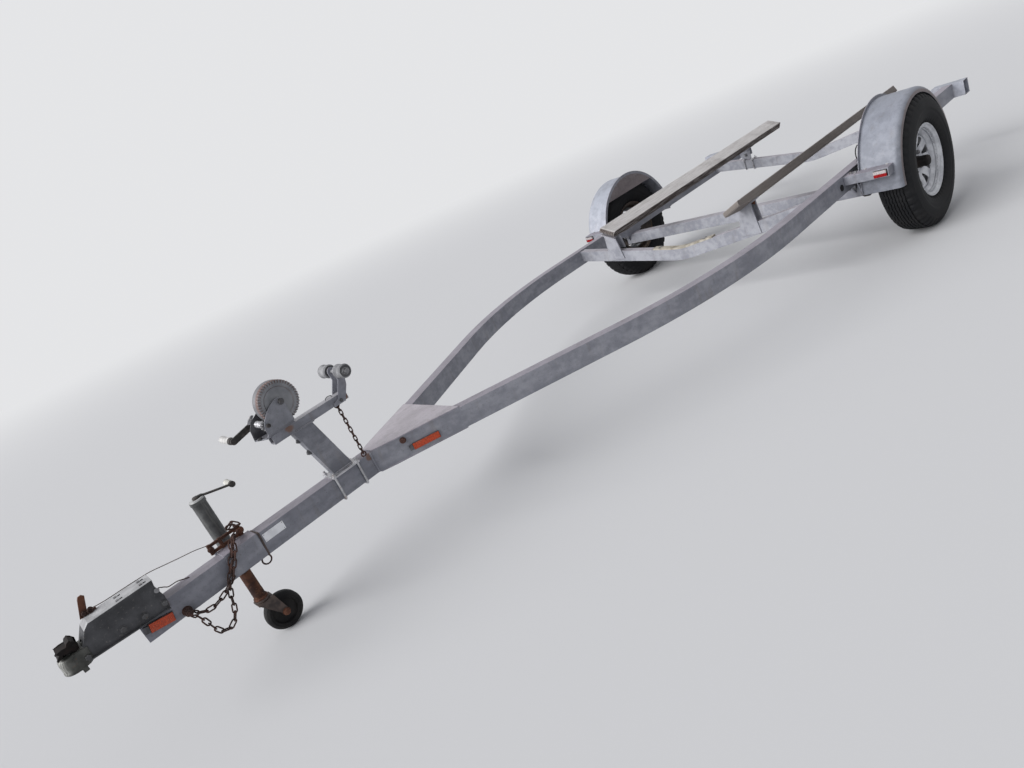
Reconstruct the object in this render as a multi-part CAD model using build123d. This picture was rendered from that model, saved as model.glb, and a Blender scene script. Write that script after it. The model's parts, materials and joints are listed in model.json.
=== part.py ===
"""Single-axle boat trailer with a drawbar, two bowed rails, two bunks and a winch post.

Units are millimetres. X points forward to the coupling, Y to the trailer's left, Z up.
The pieces are drawn with the frame level, X from the wheel axis and Z from the floor
under the wheels. As each piece is written, put() leans it about the wheel axis, as the
trailer is parked on its jockey wheel, and moves the origin under the middle.
"""
import os
from math import atan2, cos, degrees, hypot, pi, radians, sin, sqrt, tan

from build123d import *

os.makedirs("parts", exist_ok=True)

# overall
NOSE_X = 3812.6
REAR_X = -1288.6
ORIGIN_SHIFT = -(NOSE_X + REAR_X) / 2
NOSE_DOWN = 0.54
LEFT = 1
RIGHT = -1
SIDES = {"left": LEFT, "right": RIGHT}

# wheels, 12 inch
TYRE_R = 312.0
TYRE_W = 168.0
WHEEL_Y = 892.0
AXLE_Z = TYRE_R
FLANGE_R = 168.0
BEAD_R = 152.5
WELL_R = 134.0
RIM_HALF_W = 62.0
RIM_T = 3.5
DISC_Y = 7.0
DISC_BORE_R = 30.0
VENT_COUNT = 10
VENT_FLAT_R = 100.0
VENT_DEEP = 21.0
VENT_W = 36.0
STUD_COUNT = 4
STUD_PCD = 100.0
STUD_R = 6.5
DRUM_R = 112.0
DRUM_W = 56.0
HUB_R = 25.5

# frame tubes
TUBE_T = 3.0
FRAME_TOP = 424.0
FRAME_H = 80.0
FRAME_BOTTOM = FRAME_TOP - FRAME_H
FRAME_MID = FRAME_TOP - FRAME_H / 2
DRAWBAR_W = 60.0
DRAWBAR_REAR = 2640.0
DRAWBAR_FRONT = 3610.0
RAIL_W = 50.0
RAIL_Y = 705.0
RAIL_REAR = -1170.0
JOIN_X = 2757.0
SPLAY = 27.6
BEND_R = 2000.0
PLATE_T = 5.0

# cross members, bowed to clear the keel
CROSS_X = {"front": 705.0, "rear": -850.0}
CROSS_H = 60.0
CROSS_W = 40.0
CROSS_DROP = 97.0
CROSS_END_Z = 389.0
CROSS_BEND_R = 420.0

# bunks
BUNK_W = 96.0
BUNK_T = 40.0
BUNK_TILT = 25.0
BUNK_Y = 420.0
BUNK_TOP_Z = 511.0
BUNK_ENDS = {"left": (845.0, -1080.0), "right": (735.0, -1290.2)}

# suspension
BEAM_X = 215.0
BEAM_SIDE = 60.0
BEAM_T = 5.0
MOUNT_T = 12.0
BEAM_Z = FRAME_BOTTOM - MOUNT_T - BEAM_SIDE / 2
ARM_IN = RAIL_Y + RAIL_W / 2 + 3
ARM_OUT = ARM_IN + 22
DRUM_FACE = WHEEL_Y + DISC_Y - 5
DRUM_BACK = DRUM_FACE - DRUM_W
SPINDLE_R = 17.0

# mudguards
GUARD_R = 340.0
GUARD_T = 2.0
GUARD_IN = 780.0
GUARD_OUT = 955.0
GUARD_ROUND = 26.0
GUARD_LIP = 6.0
MOON_CHORD = 244.0
BRACKET_OUT = 925.0

# winch post and its beam
POST_FOOT_X = 2857.0
POST_LEAN = 15.0
POST_L = 72.0
POST_W = 40.0
BEAM_W = 40.0
BEAM_H = 30.0
BEAM_TOP = 660.0
BEAM_FRONT = 3040.0
BEAM_REAR = 2688.0
FOOT_X = (2803.0, 2914.0)
FOOT_T = 6.0

# winch
DRUM_X = 2944.0
DRUM_Z = 753.0
GEAR_R = 70.0
GEAR_BAND = 44.0
GEAR_FACE = 52.0
TEETH = 44
PINION_TEETH = 11
SHAFT_GAP = 85.0
SHAFT_DROP = 33.0
PINION_X = DRUM_X + SHAFT_GAP * cos(radians(SHAFT_DROP))
PINION_Z = DRUM_Z - SHAFT_GAP * sin(radians(SHAFT_DROP))

# bow rollers
ROLLER_X = 2711.0
ROLLER_Z = 731.0
ROLLER_R = 24.5

# coupling
BALL_X = 3772.0
BALL_R = 25.5
CUP_R = 38.0
CUP_LOW = 391.0
HOUSING_Y = 38.0
SHAFT_Z = 446.0
SHAFT_R = 18.0

# jockey wheel
JOCKEY_X = 3280.0
JOCKEY_Y = -106.0
JOCKEY_TOP = 591.0
JOCKEY_TUBE_R = 24.0
JOCKEY_TUBE_LOW = 299.0
JOCKEY_STEM_R = 20.0
JOCKEY_STEM_TOP = 466.0
JOCKEY_WHEEL_R = 66.0
JOCKEY_WHEEL_W = 40.0
JOCKEY_TRAIL = 39.0
YOKE_Z = 168.0

# lamp cable over the left rail
CABLE_R = 2.5
CABLE_Y = 714.0
CABLE_ROUTE = [(164, 420), (180, 447), (172, 476), (144, 492), (112, 490), (88, 470), (80, 444), (80, 420)]


def put(name, shape):
    """Write one named piece, leaned about the wheel axis and moved to the middle."""
    lean = Pos(0, 0, AXLE_Z) * Rot(0, NOSE_DOWN, 0) * Pos(0, 0, -AXLE_Z)
    export_step(shape.moved(Pos(ORIGIN_SHIFT, 0, 0) * lean), f"parts/{name}.step")


def over_floor(x, height):
    """The drawn Z of a point that stands at a height over the floor once leaned."""
    lean = radians(NOSE_DOWN)
    return AXLE_Z + (height - AXLE_Z + x * sin(lean)) / cos(lean)


def block(x0, x1, y0, y1, z0, z1):
    """A box between two corners."""
    size = Box(abs(x1 - x0), abs(y1 - y0), abs(z1 - z0))
    return size.moved(Pos((x0 + x1) / 2, (y0 + y1) / 2, (z0 + z1) / 2))


def rod(start, end, radius):
    """A round bar between two points."""
    axis = Vector(*end) - Vector(*start)
    plane = Plane(origin=Vector(*start), z_dir=axis)
    return extrude(plane * Circle(radius), axis.length)


def spun(profile, x, y, z):
    """Turn a closed (radius, offset) outline about a line along Y through a point."""
    face = make_face(Polyline(*[(r, 0, w) for r, w in profile], close=True))
    ring = revolve(face, Axis.Z, 360)
    return ring.rotate(Axis.X, -90).moved(Pos(x, y, z))


def turned(profile, x, y):
    """Turn a closed (radius, height) outline about an upright line."""
    face = make_face(Polyline(*[(r, 0, h) for r, h in profile], close=True))
    return revolve(face, Axis.Z, 360).moved(Pos(x, y, 0))


def side_plate(outline, y0, y1):
    """A plate between two Y values with its (x, z) outline of lines and arcs."""
    face = make_face(Plane.XZ * outline)
    return extrude(face, abs(y1 - y0), dir=(0, -1, 0)).moved(Pos(0, max(y0, y1), 0))


def flat_bar(start, end, width, y0, y1):
    """A flat bar with round ends between two (x, z) points."""
    reach = hypot(end[0] - start[0], end[1] - start[1])
    turn = degrees(atan2(end[1] - start[1], end[0] - start[0]))
    middle = Pos((start[0] + end[0]) / 2, (start[1] + end[1]) / 2)
    face = Plane.XZ * (middle * Rot(0, 0, turn) * SlotCenterToCenter(reach, width))
    return extrude(face, abs(y1 - y0), dir=(0, -1, 0)).moved(Pos(0, max(y0, y1), 0))


def bent_rod(points, radius, bend):
    """A round bar bent through points."""
    path = FilletPolyline(*points, radius=bend)
    start = Plane(origin=path @ 0, z_dir=path % 0)
    return sweep(start * Circle(radius), path=path)


def box_tube(path, width, height, wall):
    """A rectangular tube along a path: width is level, height stands up."""
    level = Vector(0, 0, 1).cross(path % 0)
    plane = Plane(origin=path @ 0, x_dir=level, z_dir=path % 0)
    outer = sweep(plane * Rectangle(width, height), path=path)
    inner = sweep(plane * Rectangle(width - 2 * wall, height - 2 * wall), path=path)
    return outer - inner


def rail_side(x, out):
    """The rail's straight part: the Y of its side face or centre line at an X."""
    return (JOIN_X - x) * tan(radians(SPLAY)) + out / cos(radians(SPLAY))


def drawbar():
    outer = Box(DRAWBAR_FRONT - DRAWBAR_REAR, DRAWBAR_W, FRAME_H)
    inner = Box(DRAWBAR_FRONT - DRAWBAR_REAR, DRAWBAR_W - 2 * TUBE_T, FRAME_H - 2 * TUBE_T)
    return (outer - inner).moved(Pos((DRAWBAR_REAR + DRAWBAR_FRONT) / 2, 0, FRAME_MID))


def rail(side):
    """A rail from the drawbar's side: straight, bowed, then parallel to the keel."""
    corner_x = JOIN_X - RAIL_Y / tan(radians(SPLAY))
    path = FilletPolyline(
        (JOIN_X, 0, FRAME_MID),
        (corner_x, side * RAIL_Y, FRAME_MID),
        (RAIL_REAR, side * RAIL_Y, FRAME_MID),
        radius=BEND_R,
    )
    tube = box_tube(path, RAIL_W, FRAME_H, TUBE_T)
    beyond = side * DRAWBAR_W / 2
    return tube - block(JOIN_X - 300, JOIN_X + 200, beyond, -side * 400, 0, 900)


def junction_plate(z_low):
    """A gusset over or under the joint of drawbar and rails."""
    outline = Polyline(
        (2745, 30), (2700, 58), (2440, 190), (2440, -190), (2700, -58), (2745, -30), close=True
    )
    return extrude(make_face(outline), PLATE_T, dir=(0, 0, 1)).moved(Pos(0, 0, z_low))


def cross_member(x):
    """A box tube between the rails with its middle bowed down."""
    end_y = RAIL_Y - RAIL_W / 2
    path = FilletPolyline(
        (x, -end_y, CROSS_END_Z),
        (x, 0, CROSS_END_Z - CROSS_DROP),
        (x, end_y, CROSS_END_Z),
        radius=CROSS_BEND_R,
    )
    tube = box_tube(path, CROSS_W, CROSS_H, TUBE_T)
    return tube & block(x - 100, x + 100, -end_y, end_y, 0, 900)


def keel_pad():
    """A strip bent over the low middle of the front cross member."""
    x = CROSS_X["front"]
    left_end, right_end = 201.0, -168.0
    slope = CROSS_DROP / (RAIL_Y - RAIL_W / 2)
    low = CROSS_END_Z - CROSS_DROP + CROSS_H / 2 * sqrt(1 + slope**2) + 4
    path = FilletPolyline(
        (x, right_end, low - right_end * slope),
        (x, 0, low),
        (x, left_end, low + left_end * slope),
        radius=CROSS_BEND_R - CROSS_H / 2 - 4,
    )
    level = Plane(origin=path @ 0, x_dir=(1, 0, 0), z_dir=path % 0)
    return sweep(level * Rectangle(38, 7), path=path)


def bunk(side, front, rear):
    """A long plank leaning inward, its front end rounded and cut away below."""
    length = front - rear
    nose = 120.0
    outline = (
        Line((rear, 0), (front - 22, 0))
        + ThreePointArc((front - 22, 0), (front - 5, -6), (front, -20))
        + Line((front, -20), (front - 4, -26))
        + Line((front - 4, -26), (front - nose, -BUNK_T))
        + Line((front - nose, -BUNK_T), (rear, -BUNK_T))
        + Line((rear, -BUNK_T), (rear, 0))
    )
    plank = side_plate(outline, -BUNK_W / 2, BUNK_W / 2)
    plank = fillet(plank.edges().filter_by(Axis.Y).sort_by(Axis.X)[0:2], 3)
    corners = plank.edges().filter_by(lambda edge: edge.length > 0.7 * length)
    return fillet(corners, 4).rotate(Axis.X, side * BUNK_TILT).moved(Pos(0, side * BUNK_Y, BUNK_TOP_Z))


def bunk_under(depth):
    """The distance from the keel line and height of the middle of a bunk's underside."""
    tilt = radians(BUNK_TILT)
    return BUNK_Y + (BUNK_T + depth) * sin(tilt), BUNK_TOP_Z - (BUNK_T + depth) * cos(tilt)


def bunk_space(side, x):
    """The space over a bunk's underside, to trim what carries it."""
    above = Box(400, 400, 400).moved(Pos(0, 0, 200 - BUNK_T - 0.01))
    return above.rotate(Axis.X, side * BUNK_TILT).moved(Pos(x, side * BUNK_Y, BUNK_TOP_Z))


def bunk_seat(side, x0, x1, thick):
    """The tilted flange that a bunk rests on."""
    seat = block(x0, x1, -BUNK_W / 2 + 6, BUNK_W / 2 - 6, -BUNK_T - thick, -BUNK_T)
    return seat.rotate(Axis.X, side * BUNK_TILT).moved(Pos(0, side * BUNK_Y, BUNK_TOP_Z))


def front_post(side):
    """A tapered plate on the front cross member, with a return plate and a seat."""
    face = CROSS_X["front"] + CROSS_W / 2
    rear = CROSS_X["front"] - CROSS_W / 2
    foot_z = FRAME_BOTTOM - 11
    outline = Polyline((368, foot_z), (470, foot_z), (458, 460), (458, 600), (386, 600), (386, 460), close=True)
    plate = extrude(make_face(Plane.YZ * outline), 6, dir=(1, 0, 0))
    if side == RIGHT:
        plate = plate.mirror(Plane.XZ)
    front_plate = plate.moved(Pos(face, 0, 0))
    return_plate = plate.moved(Pos(rear - 6, 0, 0)) - block(rear - 10, rear, -600, 600, 0, 385)
    return (front_plate + return_plate - bunk_space(side, face)) + bunk_seat(side, rear - 6, face + 6, 6)


def rear_bracket(side):
    """A saddle on the rear cross member that carries the bunk."""
    x = CROSS_X["rear"]
    slope = CROSS_DROP / (RAIL_Y - RAIL_W / 2)
    y, z = bunk_under(6)
    top = CROSS_END_Z - CROSS_DROP + y * slope + CROSS_H / 2 * sqrt(1 + slope**2)
    web = block(x - 3, x + 3, side * y - 34, side * y + 34, top - 40, z + 60)
    below = Box(200, 600, 400).moved(Pos(0, 0, -200))
    below = below.rotate(Axis.X, side * degrees(atan2(CROSS_DROP, RAIL_Y - RAIL_W / 2)))
    web = web - bunk_space(side, x) - below.moved(Pos(x, side * y, top))
    return web + bunk_seat(side, x - 60, x + 60, 6)


def axle_beam():
    outer = Box(BEAM_SIDE, 2 * ARM_IN, BEAM_SIDE)
    inner = Box(BEAM_SIDE - 2 * BEAM_T, 2 * ARM_IN + 2, BEAM_SIDE - 2 * BEAM_T)
    return (outer - inner).moved(Pos(BEAM_X, 0, BEAM_Z))


def axle_mount(side):
    """The pad that bolts the beam under the rail, with a gusset before and behind it."""
    y = side * RAIL_Y
    pad = block(BEAM_X - 75, BEAM_X + 75, y - 24, y + 24, FRAME_BOTTOM - MOUNT_T, FRAME_BOTTOM)
    half = BEAM_SIDE / 2
    low = BEAM_Z - 8
    for s in (1, -1):
        near = BEAM_X + s * half
        far = BEAM_X + s * 72
        gusset = Polyline((near, low), (near, FRAME_BOTTOM - 6), (far, FRAME_BOTTOM - 6), close=True)
        pad = pad + side_plate(gusset, y - 3, y + 3)
    return pad


def swing_arm(side):
    """Trailing arm with its hub on the beam's end and the spindle for the wheel."""
    inner = side * ARM_IN
    outer = side * ARM_OUT
    hub = rod((BEAM_X, inner, BEAM_Z), (BEAM_X, outer, BEAM_Z), 42)
    cap = rod((BEAM_X, outer, BEAM_Z), (BEAM_X, outer + side * 8, BEAM_Z), 18)
    boss = rod((0, inner, AXLE_Z), (0, side * (DRUM_BACK - 8), AXLE_Z), 30)
    web = Polyline(
        (0, AXLE_Z + 26), (BEAM_X - 12, BEAM_Z + 38), (BEAM_X - 12, BEAM_Z - 38), (0, AXLE_Z - 26), close=True
    )
    spindle = rod((0, outer, AXLE_Z), (0, side * (DRUM_FACE + 20), AXLE_Z), SPINDLE_R)
    return hub + cap + boss + side_plate(web, inner, outer) + spindle


def back_plate(side):
    """The fixed dished plate that closes the brake drum."""
    profile = [
        (SPINDLE_R, -8), (88, -8), (96, -14), (DRUM_R - 2, -14), (DRUM_R - 2, -5), (DRUM_R - 5, -5),
        (DRUM_R - 5, -11), (97, -11), (89, -5), (SPINDLE_R, -5),
    ]
    return spun([(r, side * (DRUM_BACK + w)) for r, w in profile], 0, 0, AXLE_Z)


def brake_drum(side):
    """The drum with its hub and grease cap, bored for the spindle."""
    face = DRUM_FACE
    back = DRUM_BACK
    profile = [
        (18, back + 6), (34, back + 6), (34, face - 10), (DRUM_R - 9, face - 10), (DRUM_R - 9, back + 4),
        (DRUM_R - 9, back), (DRUM_R, back), (DRUM_R, back + 9), (DRUM_R - 4, back + 12),
        (DRUM_R - 4, face - 6), (DRUM_R - 10, face), (HUB_R + 3, face), (HUB_R + 3, face + 14),
        (HUB_R, face + 16), (HUB_R, face + 52), (HUB_R - 5, face + 60), (10, face + 64), (0, face + 64),
        (0, face + 30), (18, face + 30),
    ]
    return spun([(r, side * w) for r, w in profile], 0, 0, AXLE_Z)


def vent_cutter(angle):
    """A D-shaped window through the wheel disc, its flat side to the hub."""
    half = VENT_W / 2
    top = VENT_FLAT_R + VENT_DEEP
    outline = (
        Line((VENT_FLAT_R, -half), (VENT_FLAT_R, half))
        + ThreePointArc((VENT_FLAT_R, half), (top, 0), (VENT_FLAT_R, -half))
    )
    return extrude(make_face(outline), 60, both=True).rotate(Axis.Z, angle)


def wheel_disc():
    """The pressed disc: a flat for the studs, a raised ring and a dished edge with windows."""
    y = DISC_Y
    well = WELL_R - RIM_T
    profile = [
        (DISC_BORE_R, y - 5), (70, y - 5), (80, y + 3), (94, y + 7), (104, y + 4), (well - 4, y - 14),
        (well, y - 24), (well, y - 12), (well - 2, y - 8), (106, y + 9), (94, y + 12), (78, y + 8),
        (68, y), (DISC_BORE_R, y),
    ]
    disc = spun(profile, 0, 0, 0)
    for i in range(VENT_COUNT):
        disc = disc - vent_cutter(360 / VENT_COUNT * i).rotate(Axis.X, -90)
    for i in range(STUD_COUNT):
        a = radians(360 / STUD_COUNT * i + 52)
        x, z = STUD_PCD / 2 * cos(a), STUD_PCD / 2 * sin(a)
        disc = disc - rod((x, -100, z), (x, 100, z), STUD_R)
    return disc


def wheel_rim(side):
    """A stepped well-base rim with its pressed disc."""
    half = RIM_HALF_W
    t = RIM_T
    outer = [
        (FLANGE_R, half), (FLANGE_R - 1, half - 7), (BEAD_R, half - 12), (BEAD_R - 1, half - 32),
        (WELL_R, half - 44), (WELL_R, -half + 48), (BEAD_R - 1, -half + 30), (BEAD_R, -half + 12),
        (FLANGE_R - 1, -half + 7), (FLANGE_R, -half),
    ]
    inner = [
        (FLANGE_R - 4, -half), (FLANGE_R - 6, -half + 7 - t), (BEAD_R - t, -half + 10),
        (BEAD_R - 1 - t, -half + 30 - t), (WELL_R - t, -half + 48 - t), (WELL_R - t, half - 44 + t),
        (BEAD_R - 1 - t, half - 32 + t), (BEAD_R - t, half - 10), (FLANGE_R - 6, half - 7 + t),
        (FLANGE_R - 4, half),
    ]
    wheel = spun(outer + inner, 0, 0, 0) + wheel_disc()
    if side == RIGHT:
        wheel = wheel.rotate(Axis.Z, 180)
    return wheel.moved(Pos(0, side * WHEEL_Y, AXLE_Z))


def tyre(side):
    """A hollow carcass: rounded shoulders, bulged walls and beads on the rim."""
    half = TYRE_W / 2
    outer = [
        (BEAD_R + 1, RIM_HALF_W - 16), (FLANGE_R - 2, RIM_HALF_W - 10), (FLANGE_R + 8, RIM_HALF_W + 3),
        (205, half - 4), (232, half), (262, half - 3), (288, half - 13), (304, half - 27), (TYRE_R, 36),
    ]
    inner = [
        (299, 34), (284, half - 26), (256, half - 14), (230, half - 11), (206, half - 15),
        (BEAD_R + 14, RIM_HALF_W - 17), (BEAD_R + 1, RIM_HALF_W - 30),
    ]
    far_side = [(r, -w) for r, w in reversed(outer)] + [(r, -w) for r, w in reversed(inner)]
    return spun(outer + far_side + inner, 0, side * WHEEL_Y, AXLE_Z)


def mudguard(side):
    """Half-round guard: rounded outer edge with a lip, half-moon wall on the inner side."""
    k = GUARD_ROUND
    t = GUARD_T
    y0, y1 = GUARD_IN, GUARD_OUT
    r = GUARD_R
    bend = k * (1 - cos(pi / 4))
    inner_bend = t + (k - t) * (1 - cos(pi / 4))
    section = (
        Line((r - t, side * y0), (r, side * y0))
        + Line((r, side * y0), (r, side * (y1 - k)))
        + ThreePointArc((r, side * (y1 - k)), (r - bend, side * (y1 - bend)), (r - k, side * y1))
        + Line((r - k, side * y1), (r - k - GUARD_LIP, side * y1))
        + Line((r - k - GUARD_LIP, side * y1), (r - k - GUARD_LIP, side * (y1 - t)))
        + Line((r - k - GUARD_LIP, side * (y1 - t)), (r - k, side * (y1 - t)))
        + ThreePointArc(
            (r - k, side * (y1 - t)),
            (r - inner_bend, side * (y1 - inner_bend)),
            (r - t, side * (y1 - k)),
        )
        + Line((r - t, side * (y1 - k)), (r - t, side * y0))
    )
    shell = revolve(make_face(section), Axis.Y, -184).rotate(Axis.Y, 2)
    moon = rod((0, side * y0, 0), (0, side * (y0 + t), 0), r - 1)
    moon = moon & block(-400, 400, side * (y0 - 10), side * (y0 + 10), MOON_CHORD, 400)
    return (shell + moon).moved(Pos(0, 0, AXLE_Z))


def guard_bracket(side, fore):
    """A folded channel from the rail to the mudguard, with a row of holes along its edge."""
    y0 = side * (RAIL_Y + RAIL_W / 2)
    y1 = side * BRACKET_OUT
    x0, x1 = fore * 318, fore * 388
    outer = block(x0, x1, y0, y1, 376, 416)
    inner = block(x0 - fore, x1 - fore * 3, y0 + side, y1 - side * 3, 370, 413)
    curve = rod((0, side * 700, AXLE_Z), (0, side * 1000, AXLE_Z), GUARD_R)
    bracket = outer - inner - curve
    for i in range(9):
        y = side * (RAIL_Y + RAIL_W / 2 + 18 + i * 19)
        bracket = bracket - Cylinder(3, 20).moved(Pos(fore * 378, y, 414))
    return bracket


def marker_lamp(side):
    """A small block lamp with its lens on the front bracket."""
    body = block(388, 402, side * 862, side * 920, 381, 411)
    return fillet(body.edges().filter_by(Axis.X), 4)


def light_bar_stub(side, reach):
    """A cross tube on the rail's rear end that carries one end of a light board."""
    y0 = side * (RAIL_Y - RAIL_W / 2 - 60)
    y1 = side * reach
    x0, x1 = RAIL_REAR - 76, RAIL_REAR
    outer = block(x0, x1, y0, y1, FRAME_BOTTOM, FRAME_TOP)
    return outer - block(x0 + 3, x1 - 3, y0 - side, y1 + side, FRAME_BOTTOM + 3, FRAME_TOP - 3)


def reflector_lens(side, angle, x, y, length):
    """An oblong reflector with rounded corners on a side face."""
    lens = fillet(Box(length, 8, 37).edges().filter_by(Axis.Y), 4)
    return lens.rotate(Axis.Z, -side * angle).moved(Pos(x, side * y, 373))


def side_reflectors():
    """Two reflectors a side: on the drawbar's front end and on the rail behind the gusset."""
    lenses = []
    turn = radians(SPLAY)
    for side in (LEFT, RIGHT):
        lenses.append(reflector_lens(side, 0, 3558, DRAWBAR_W / 2 + 2 + 4, 84))
        x = 2574.0
        out = RAIL_W / 2 + 4
        lenses.append(reflector_lens(side, SPLAY, x + out * sin(turn), rail_side(x, 0) + out * cos(turn), 102))
    return Compound(lenses)


def front_reflector_plate():
    """A thin plate on each face of the drawbar's front end behind the front reflectors."""
    half = DRAWBAR_W / 2
    return Compound([block(3512, 3606, s * half, s * (half + 2), 352, 396) for s in (LEFT, RIGHT)])


def housing_outline(wall, opening):
    """The coupling housing from the side: in by its wall on top, out by an opening behind and below."""
    rear = -opening
    return Polyline(
        (3518 + rear, 398 - opening), (3513 + rear, 440), (3521 + rear, 478), (3517 + rear, 501 - wall),
        (3700 - wall / 2, 503 - wall), (3717 - wall, 490 - wall / 2), (3742 - wall, 452),
        (3744 - wall, 412 - opening), close=True,
    )


def coupling_housing():
    """A pressed steel box, open below, with bolt spacers, bottom flanges and cover slots."""
    outer = side_plate(housing_outline(0, 0), -HOUSING_Y, HOUSING_Y)
    shell = outer - side_plate(housing_outline(4, 60), -HOUSING_Y + 4, HOUSING_Y - 4)
    lip = Polyline((3518, 398), (3744, 412), (3744, 416), (3518, 402), close=True)
    half = DRAWBAR_W / 2
    for s in (LEFT, RIGHT):
        shell = shell + side_plate(lip, s * (HOUSING_Y - 4), s * (HOUSING_Y + 8))
        shell = shell + block(3524, 3604, s * half, s * (HOUSING_Y - 4), 404, FRAME_TOP - 2)
        for x in (3534, 3602):
            shell = shell - block(x - 4, x + 4, s * 12, s * 22, 480, 520)
    return shell - rod((3600, 0, SHAFT_Z), (3800, 0, SHAFT_Z), SHAFT_R)


def coupling_head():
    """The draw shaft, a tapered neck and the hollow cup that takes the ball."""
    low = CUP_LOW
    cup = turned(
        [
            (BALL_R, low), (CUP_R + 2.5, low), (CUP_R + 2.5, low + 7), (CUP_R, low + 10), (CUP_R, low + 36),
            (32, low + 52), (20, low + 62), (0, low + 65), (0, low + 50), (BALL_R, low + 50),
        ],
        BALL_X,
        0,
    )
    side_view = Polyline((3730, 464), (3750, 460), (BALL_X, 449), (BALL_X, low), (3730, low + 5), close=True)
    plan = Polyline((3725, 30), (BALL_X, CUP_R), (BALL_X, -CUP_R), (3725, -30), close=True)
    neck = side_plate(side_view, -60, 60) & extrude(make_face(plan), 900, dir=(0, 0, 1))
    socket = Cylinder(BALL_R, 50).moved(Pos(BALL_X, 0, low + 25))
    head = cup + (neck - socket) - side_plate(housing_outline(0, 0), -HOUSING_Y, HOUSING_Y)
    head = head + rod((3618, 0, SHAFT_Z), (3742, 0, SHAFT_Z), SHAFT_R)
    return head + block(3757, 3770, CUP_R - 3, CUP_R + 4, low - 8, low + 4)


def coupling_handle():
    """A pressed lever over the neck with its catch on top."""
    strip = Polyline(
        (3750, 460), (3757, 480), (3798, 474), (3806, 464), (3809, 467), (3800, 480), (3754, 487),
        (3742, 461.6), close=True,
    )
    cheek = Polyline((3748, 446), (3750, 482), (3782, 478), (3768, 448), close=True)
    lever = side_plate(strip, -25, 25)
    for s in (LEFT, RIGHT):
        lever = lever + side_plate(cheek, s * 25, s * 42)
    lever = lever - block(3700, 3900, -38.5, 38.5, 400, 460) - block(3755, 3900, -38.5, 38.5, 459, 470)
    catch = turned([(0, 480), (11, 480), (11, 490), (8, 494), (0, 494)], 3766, 0)
    return lever + catch


def handbrake_lever():
    """The stub of the rusted hand-brake lever on the housing's top."""
    outline = Polyline((3688, 503), (3709, 503), (3688, 553), (3683, 560), (3674, 561), (3668, 554), close=True)
    return side_plate(outline, -34, -27)


def winch_saddle():
    """The post's foot plate on the drawbar with two U-bolts round the tube."""
    half = DRAWBAR_W / 2
    r = 4.0
    foot = block(*FOOT_X, -42, 42, FRAME_TOP, FRAME_TOP + FOOT_T)
    for x in (FOOT_X[0] + 8, FOOT_X[1] - 8):
        y = half + r + 1.5
        top = FRAME_TOP + FOOT_T + 14
        low = FRAME_BOTTOM - r - 1.5
        points = [(x, -y, top), (x, -y, low), (x, y, low), (x, y, top)]
        foot = foot + bent_rod(points, r, 7)
        for s in (LEFT, RIGHT):
            nut = extrude(RegularPolygon(7.5, 6), 6, dir=(0, 0, 1))
            foot = foot + nut.moved(Pos(x, s * y, FRAME_TOP + FOOT_T))
    return foot


def winch_post():
    """A rectangular tube that leans forward from its foot to the winch beam."""
    foot = FRAME_TOP + FOOT_T
    tube = Box(POST_L, POST_W, 500) - Box(POST_L - 6, POST_W - 6, 502)
    tube = tube.rotate(Axis.Y, POST_LEAN).moved(Pos(POST_FOOT_X, 0, foot))
    return tube & block(2600, 3200, -100, 100, foot, BEAM_TOP - BEAM_H)


def winch_beam():
    length = BEAM_FRONT - BEAM_REAR
    outer = Box(length, BEAM_W, BEAM_H)
    inner = Box(length + 2, BEAM_W - 6, BEAM_H - 6)
    return (outer - inner).moved(Pos((BEAM_FRONT + BEAM_REAR) / 2, 0, BEAM_TOP - BEAM_H / 2))


def winch_cheek(y0, y1):
    """A cheek with a broad foot and a round top at the drum's shaft."""
    r = 26.0
    outline = (
        Line((2922, BEAM_TOP), (DRUM_X - r, DRUM_Z))
        + ThreePointArc(
            (DRUM_X - r, DRUM_Z),
            (DRUM_X - r * cos(radians(67)), DRUM_Z + r * sin(radians(67))),
            (DRUM_X + r * cos(radians(45)), DRUM_Z + r * sin(radians(45))),
        )
        + Line((DRUM_X + r * cos(radians(45)), DRUM_Z + r * sin(radians(45))), (3036, 717))
        + Line((3036, 717), (3052, 688))
        + Line((3052, 688), (3052, BEAM_TOP))
        + Line((3052, BEAM_TOP), (2922, BEAM_TOP))
    )
    return side_plate(outline, y0, y1)


def winch_frame():
    """A folded U of sheet: a base on the beam and two cheeks for the shafts."""
    frame = block(2922, 3052, -39, GEAR_FACE + 7, BEAM_TOP, BEAM_TOP + 4)
    frame = frame + winch_cheek(-39, -36) + winch_cheek(GEAR_FACE + 4, GEAR_FACE + 7)
    frame = frame - rod((DRUM_X, -70, DRUM_Z), (DRUM_X, 90, DRUM_Z), 8.5)
    return frame - rod((PINION_X, -70, PINION_Z), (PINION_X, 90, PINION_Z), 7)


def winch_drum():
    """The drum with two flanges on its shaft."""
    profile = [
        (0, -47), (8, -47), (8, -31), (48, -31), (48, -28), (20, -28), (20, 28), (48, 28), (48, 31),
        (8, 31), (8, GEAR_FACE + 14), (0, GEAR_FACE + 14),
    ]
    return spun(profile, DRUM_X, 0, DRUM_Z)


def winch_gear():
    """A pressed gear: a stepped face, a deep band and a row of tooth slots at its corner."""
    g = GEAR_FACE
    r = GEAR_R
    back = g - GEAR_BAND
    profile = [
        (8, g - 9), (15, g - 9), (15, g - 6), (48, g - 6), (51, g - 3), (r - 7, g - 3), (r - 3, g - 7),
        (r - 3, back), (r, back), (r, g - 5.5), (r - 5.5, g), (50, g), (46.5, g - 3), (8, g - 3),
    ]
    gear = spun(profile, 0, 0, 0)
    for i in range(TEETH):
        slot = block(r - 11, r + 3, g - 20, g + 2, -2.7, 2.7)
        gear = gear - slot.rotate(Axis.Y, SHAFT_DROP + 360 / TEETH * i)
    return gear.moved(Pos(DRUM_X, 0, DRUM_Z))


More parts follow.
